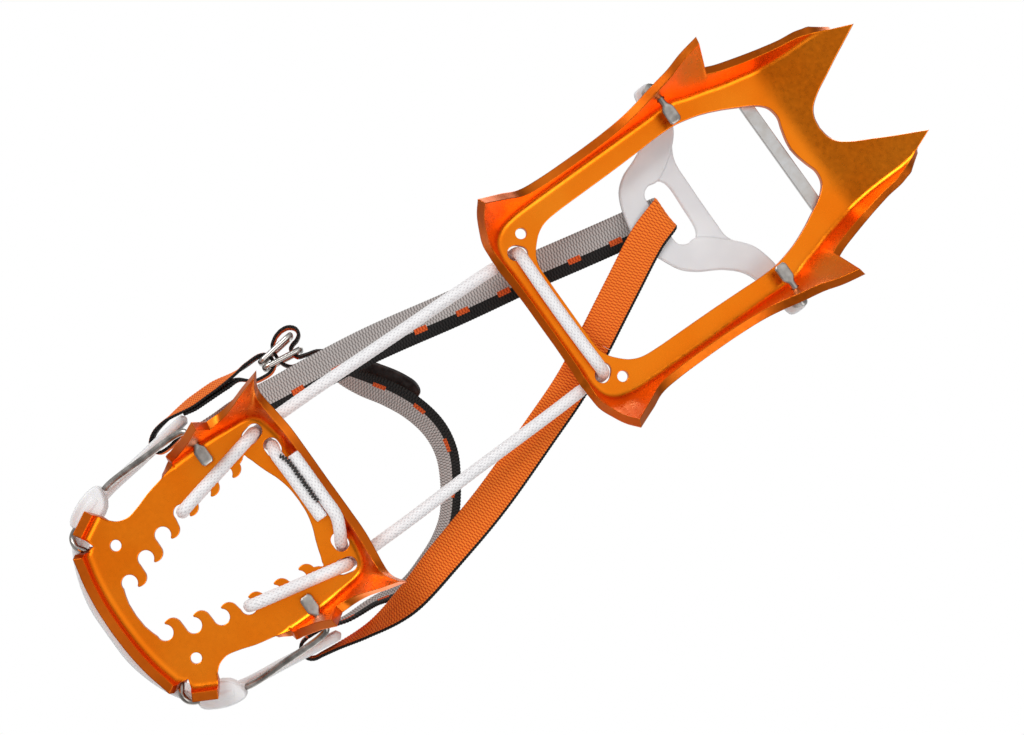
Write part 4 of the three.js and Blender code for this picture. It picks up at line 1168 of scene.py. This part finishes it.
def straps():
    fold = webbing("toe_fold_webbing", TOE_FOLD_ROUTE, first_tick=6)
    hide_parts("strap_toe_fold")
    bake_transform(fold)
    runs = (("left_run_webbing", LEFT_RUN_ROUTE, "strap_left_run", "strap_web", 5.0),
            ("right_run_webbing", RIGHT_RUN_ROUTE, "strap_right_run", "strap_web_orange", 0.0))
    for name, route, node, slot, first_tick in runs:
        run = webbing(name, route, first_tick=first_tick)
        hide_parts(node)
        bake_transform(run)
    ankle = webbing("ankle_webbing", ANKLE_ROUTE, first_tick=3)
    settle(ankle, "heel", "strap_web", "strap_ankle_run")
    tail = webbing("tail_webbing", TAIL_ROUTE, coated=COATED_LENGTH)
    settle(tail, "heel", "strap_web", "strap_tail")
    lean_y, lean = zip(*BUCKLE_END_LEAN)
    buckle_end = [[x, y, ARM_Z, -np.interp(y, lean_y, lean), 0, 1] for x, y in BUCKLE_END_PLAN]
    end = webbing("buckle_end_webbing", buckle_end, first_tick=2)
    settle(end, "heel", "strap_web_orange", "strap_buckle_end")


# ---------------------------------------------------------------- studio

CAMERA_SPOT = (0.0023, 0.0696, -0.6966)
CAMERA_TURN = (-176.994, 4.617, -54.319)
CAMERA_LENS = 76.2


def camera():
    """The camera looks up at the points from below, with the toes to the upper right."""
    data = bpy.data.cameras.new("camera")
    data.lens = CAMERA_LENS
    data.sensor_width = 36.0
    data.clip_start = 0.01
    made = linked("camera", data)
    made.location = CAMERA_SPOT
    made.rotation_euler = [math.radians(angle) for angle in CAMERA_TURN]
    bpy.context.scene.camera = made


def softbox(name, spot, size, power, target=(0, 0, 0.02)):
    """A square studio light that faces the object."""
    data = bpy.data.lights.new(name, "AREA")
    data.energy = power
    data.size = size
    made = linked(name, data)
    made.location = spot
    made.rotation_euler = (Vector(spot) - Vector(target)).to_track_quat("Z", "Y").to_euler()


SKY_LEAN = 0.55
SKY_STOPS = ((0.0, 1.0), (0.13, 0.94), (0.2, 0.62), (0.3, 0.3), (0.4, 0.2), (0.5, 0.42), (0.7, 0.55),
             (1.0, 0.8))


def sky():
    """A pale room: white to the eye, and in reflections darker round the horizon and behind."""
    world = bpy.data.worlds.new("studio")
    bpy.context.scene.world = world
    world.use_nodes = True
    nodes = Nodes(world.node_tree)
    parts = nodes.node("ShaderNodeSeparateXYZ", {0: nodes.node("ShaderNodeTexCoord").outputs["Generated"]})
    height = nodes.math("MULTIPLY_ADD", parts.outputs[1], SKY_LEAN, parts.outputs[2])
    ramp = nodes.node("ShaderNodeValToRGB", {0: nodes.span(height, -1 - SKY_LEAN, 1 + SKY_LEAN, 0.0, 1.0)})
    for i, (place, shade) in enumerate(SKY_STOPS):
        stop = ramp.color_ramp.elements[i] if i < 2 else ramp.color_ramp.elements.new(place)
        stop.position = place
        stop.color = (shade, shade, shade, 1)
    seen = nodes.node("ShaderNodeLightPath").outputs["Is Camera Ray"]
    nodes.plug(nodes.tree.nodes["Background"].inputs[0], nodes.mix(seen, ramp.outputs[0], (1, 1, 1, 1)))


FLOOR_Z = -0.0004
FLOOR_REACH = 1.6
FLOOR_CLEARNESS = 0.5
FLOOR_FADES_FROM = 0.28
FLOOR_GONE_AT = 0.8


def studio_floor():
    """A pale, half clear floor under the points, seen only from above, that fades into the white."""
    low, size = FLOOR_Z, FLOOR_REACH
    data = bpy.data.meshes.new("floor")
    data.from_pydata([(-size, -size, low), (size, -size, low), (size, size, low), (-size, size, low)], [],
                     [(0, 1, 2, 3)])
    floor = linked("floor", data)
    finish = Finish("floor_paper", "F3F3F2", 0.9)
    where = finish.node("ShaderNodeTexCoord").outputs["Object"]
    distance = finish.node("ShaderNodeVectorMath", {0: where}, operation="LENGTH").outputs["Value"]
    fade = finish.span(distance, FLOOR_FADES_FROM, FLOOR_GONE_AT, FLOOR_CLEARNESS, 1.0)
    unseen = finish.math("MAXIMUM", finish.node("ShaderNodeNewGeometry").outputs["Backfacing"], fade)
    clear = finish.node("ShaderNodeBsdfTransparent").outputs[0]
    blend = finish.node("ShaderNodeMixShader", {0: unseen, 1: finish.shader.outputs[0], 2: clear})
    finish.plug(finish.tree.nodes["Material Output"].inputs[0], blend.outputs[0])
    data.materials.append(finish.material)
    floor.visible_shadow = False
    floor.visible_diffuse = False
    floor.visible_glossy = False


def studio():
    bpy.context.scene.view_settings.view_transform = "Standard"
    sky()
    softbox("key_below", (-0.75, 0.25, -0.6), 0.5, 4.8)
    softbox("fill_below", (0.7, -0.1, -0.75), 0.7, 3.2)
    softbox("key_above", (-0.5, -0.6, 0.9), 0.7, 5)
    softbox("fill_above", (0.7, 0.6, 0.8), 0.9, 3)
    studio_floor()


camera()
studio()
front_frame()
heel_frame()
toe_bar()
wires()
toe_ring()
heel_cup()
cords()
stitching()
straps()
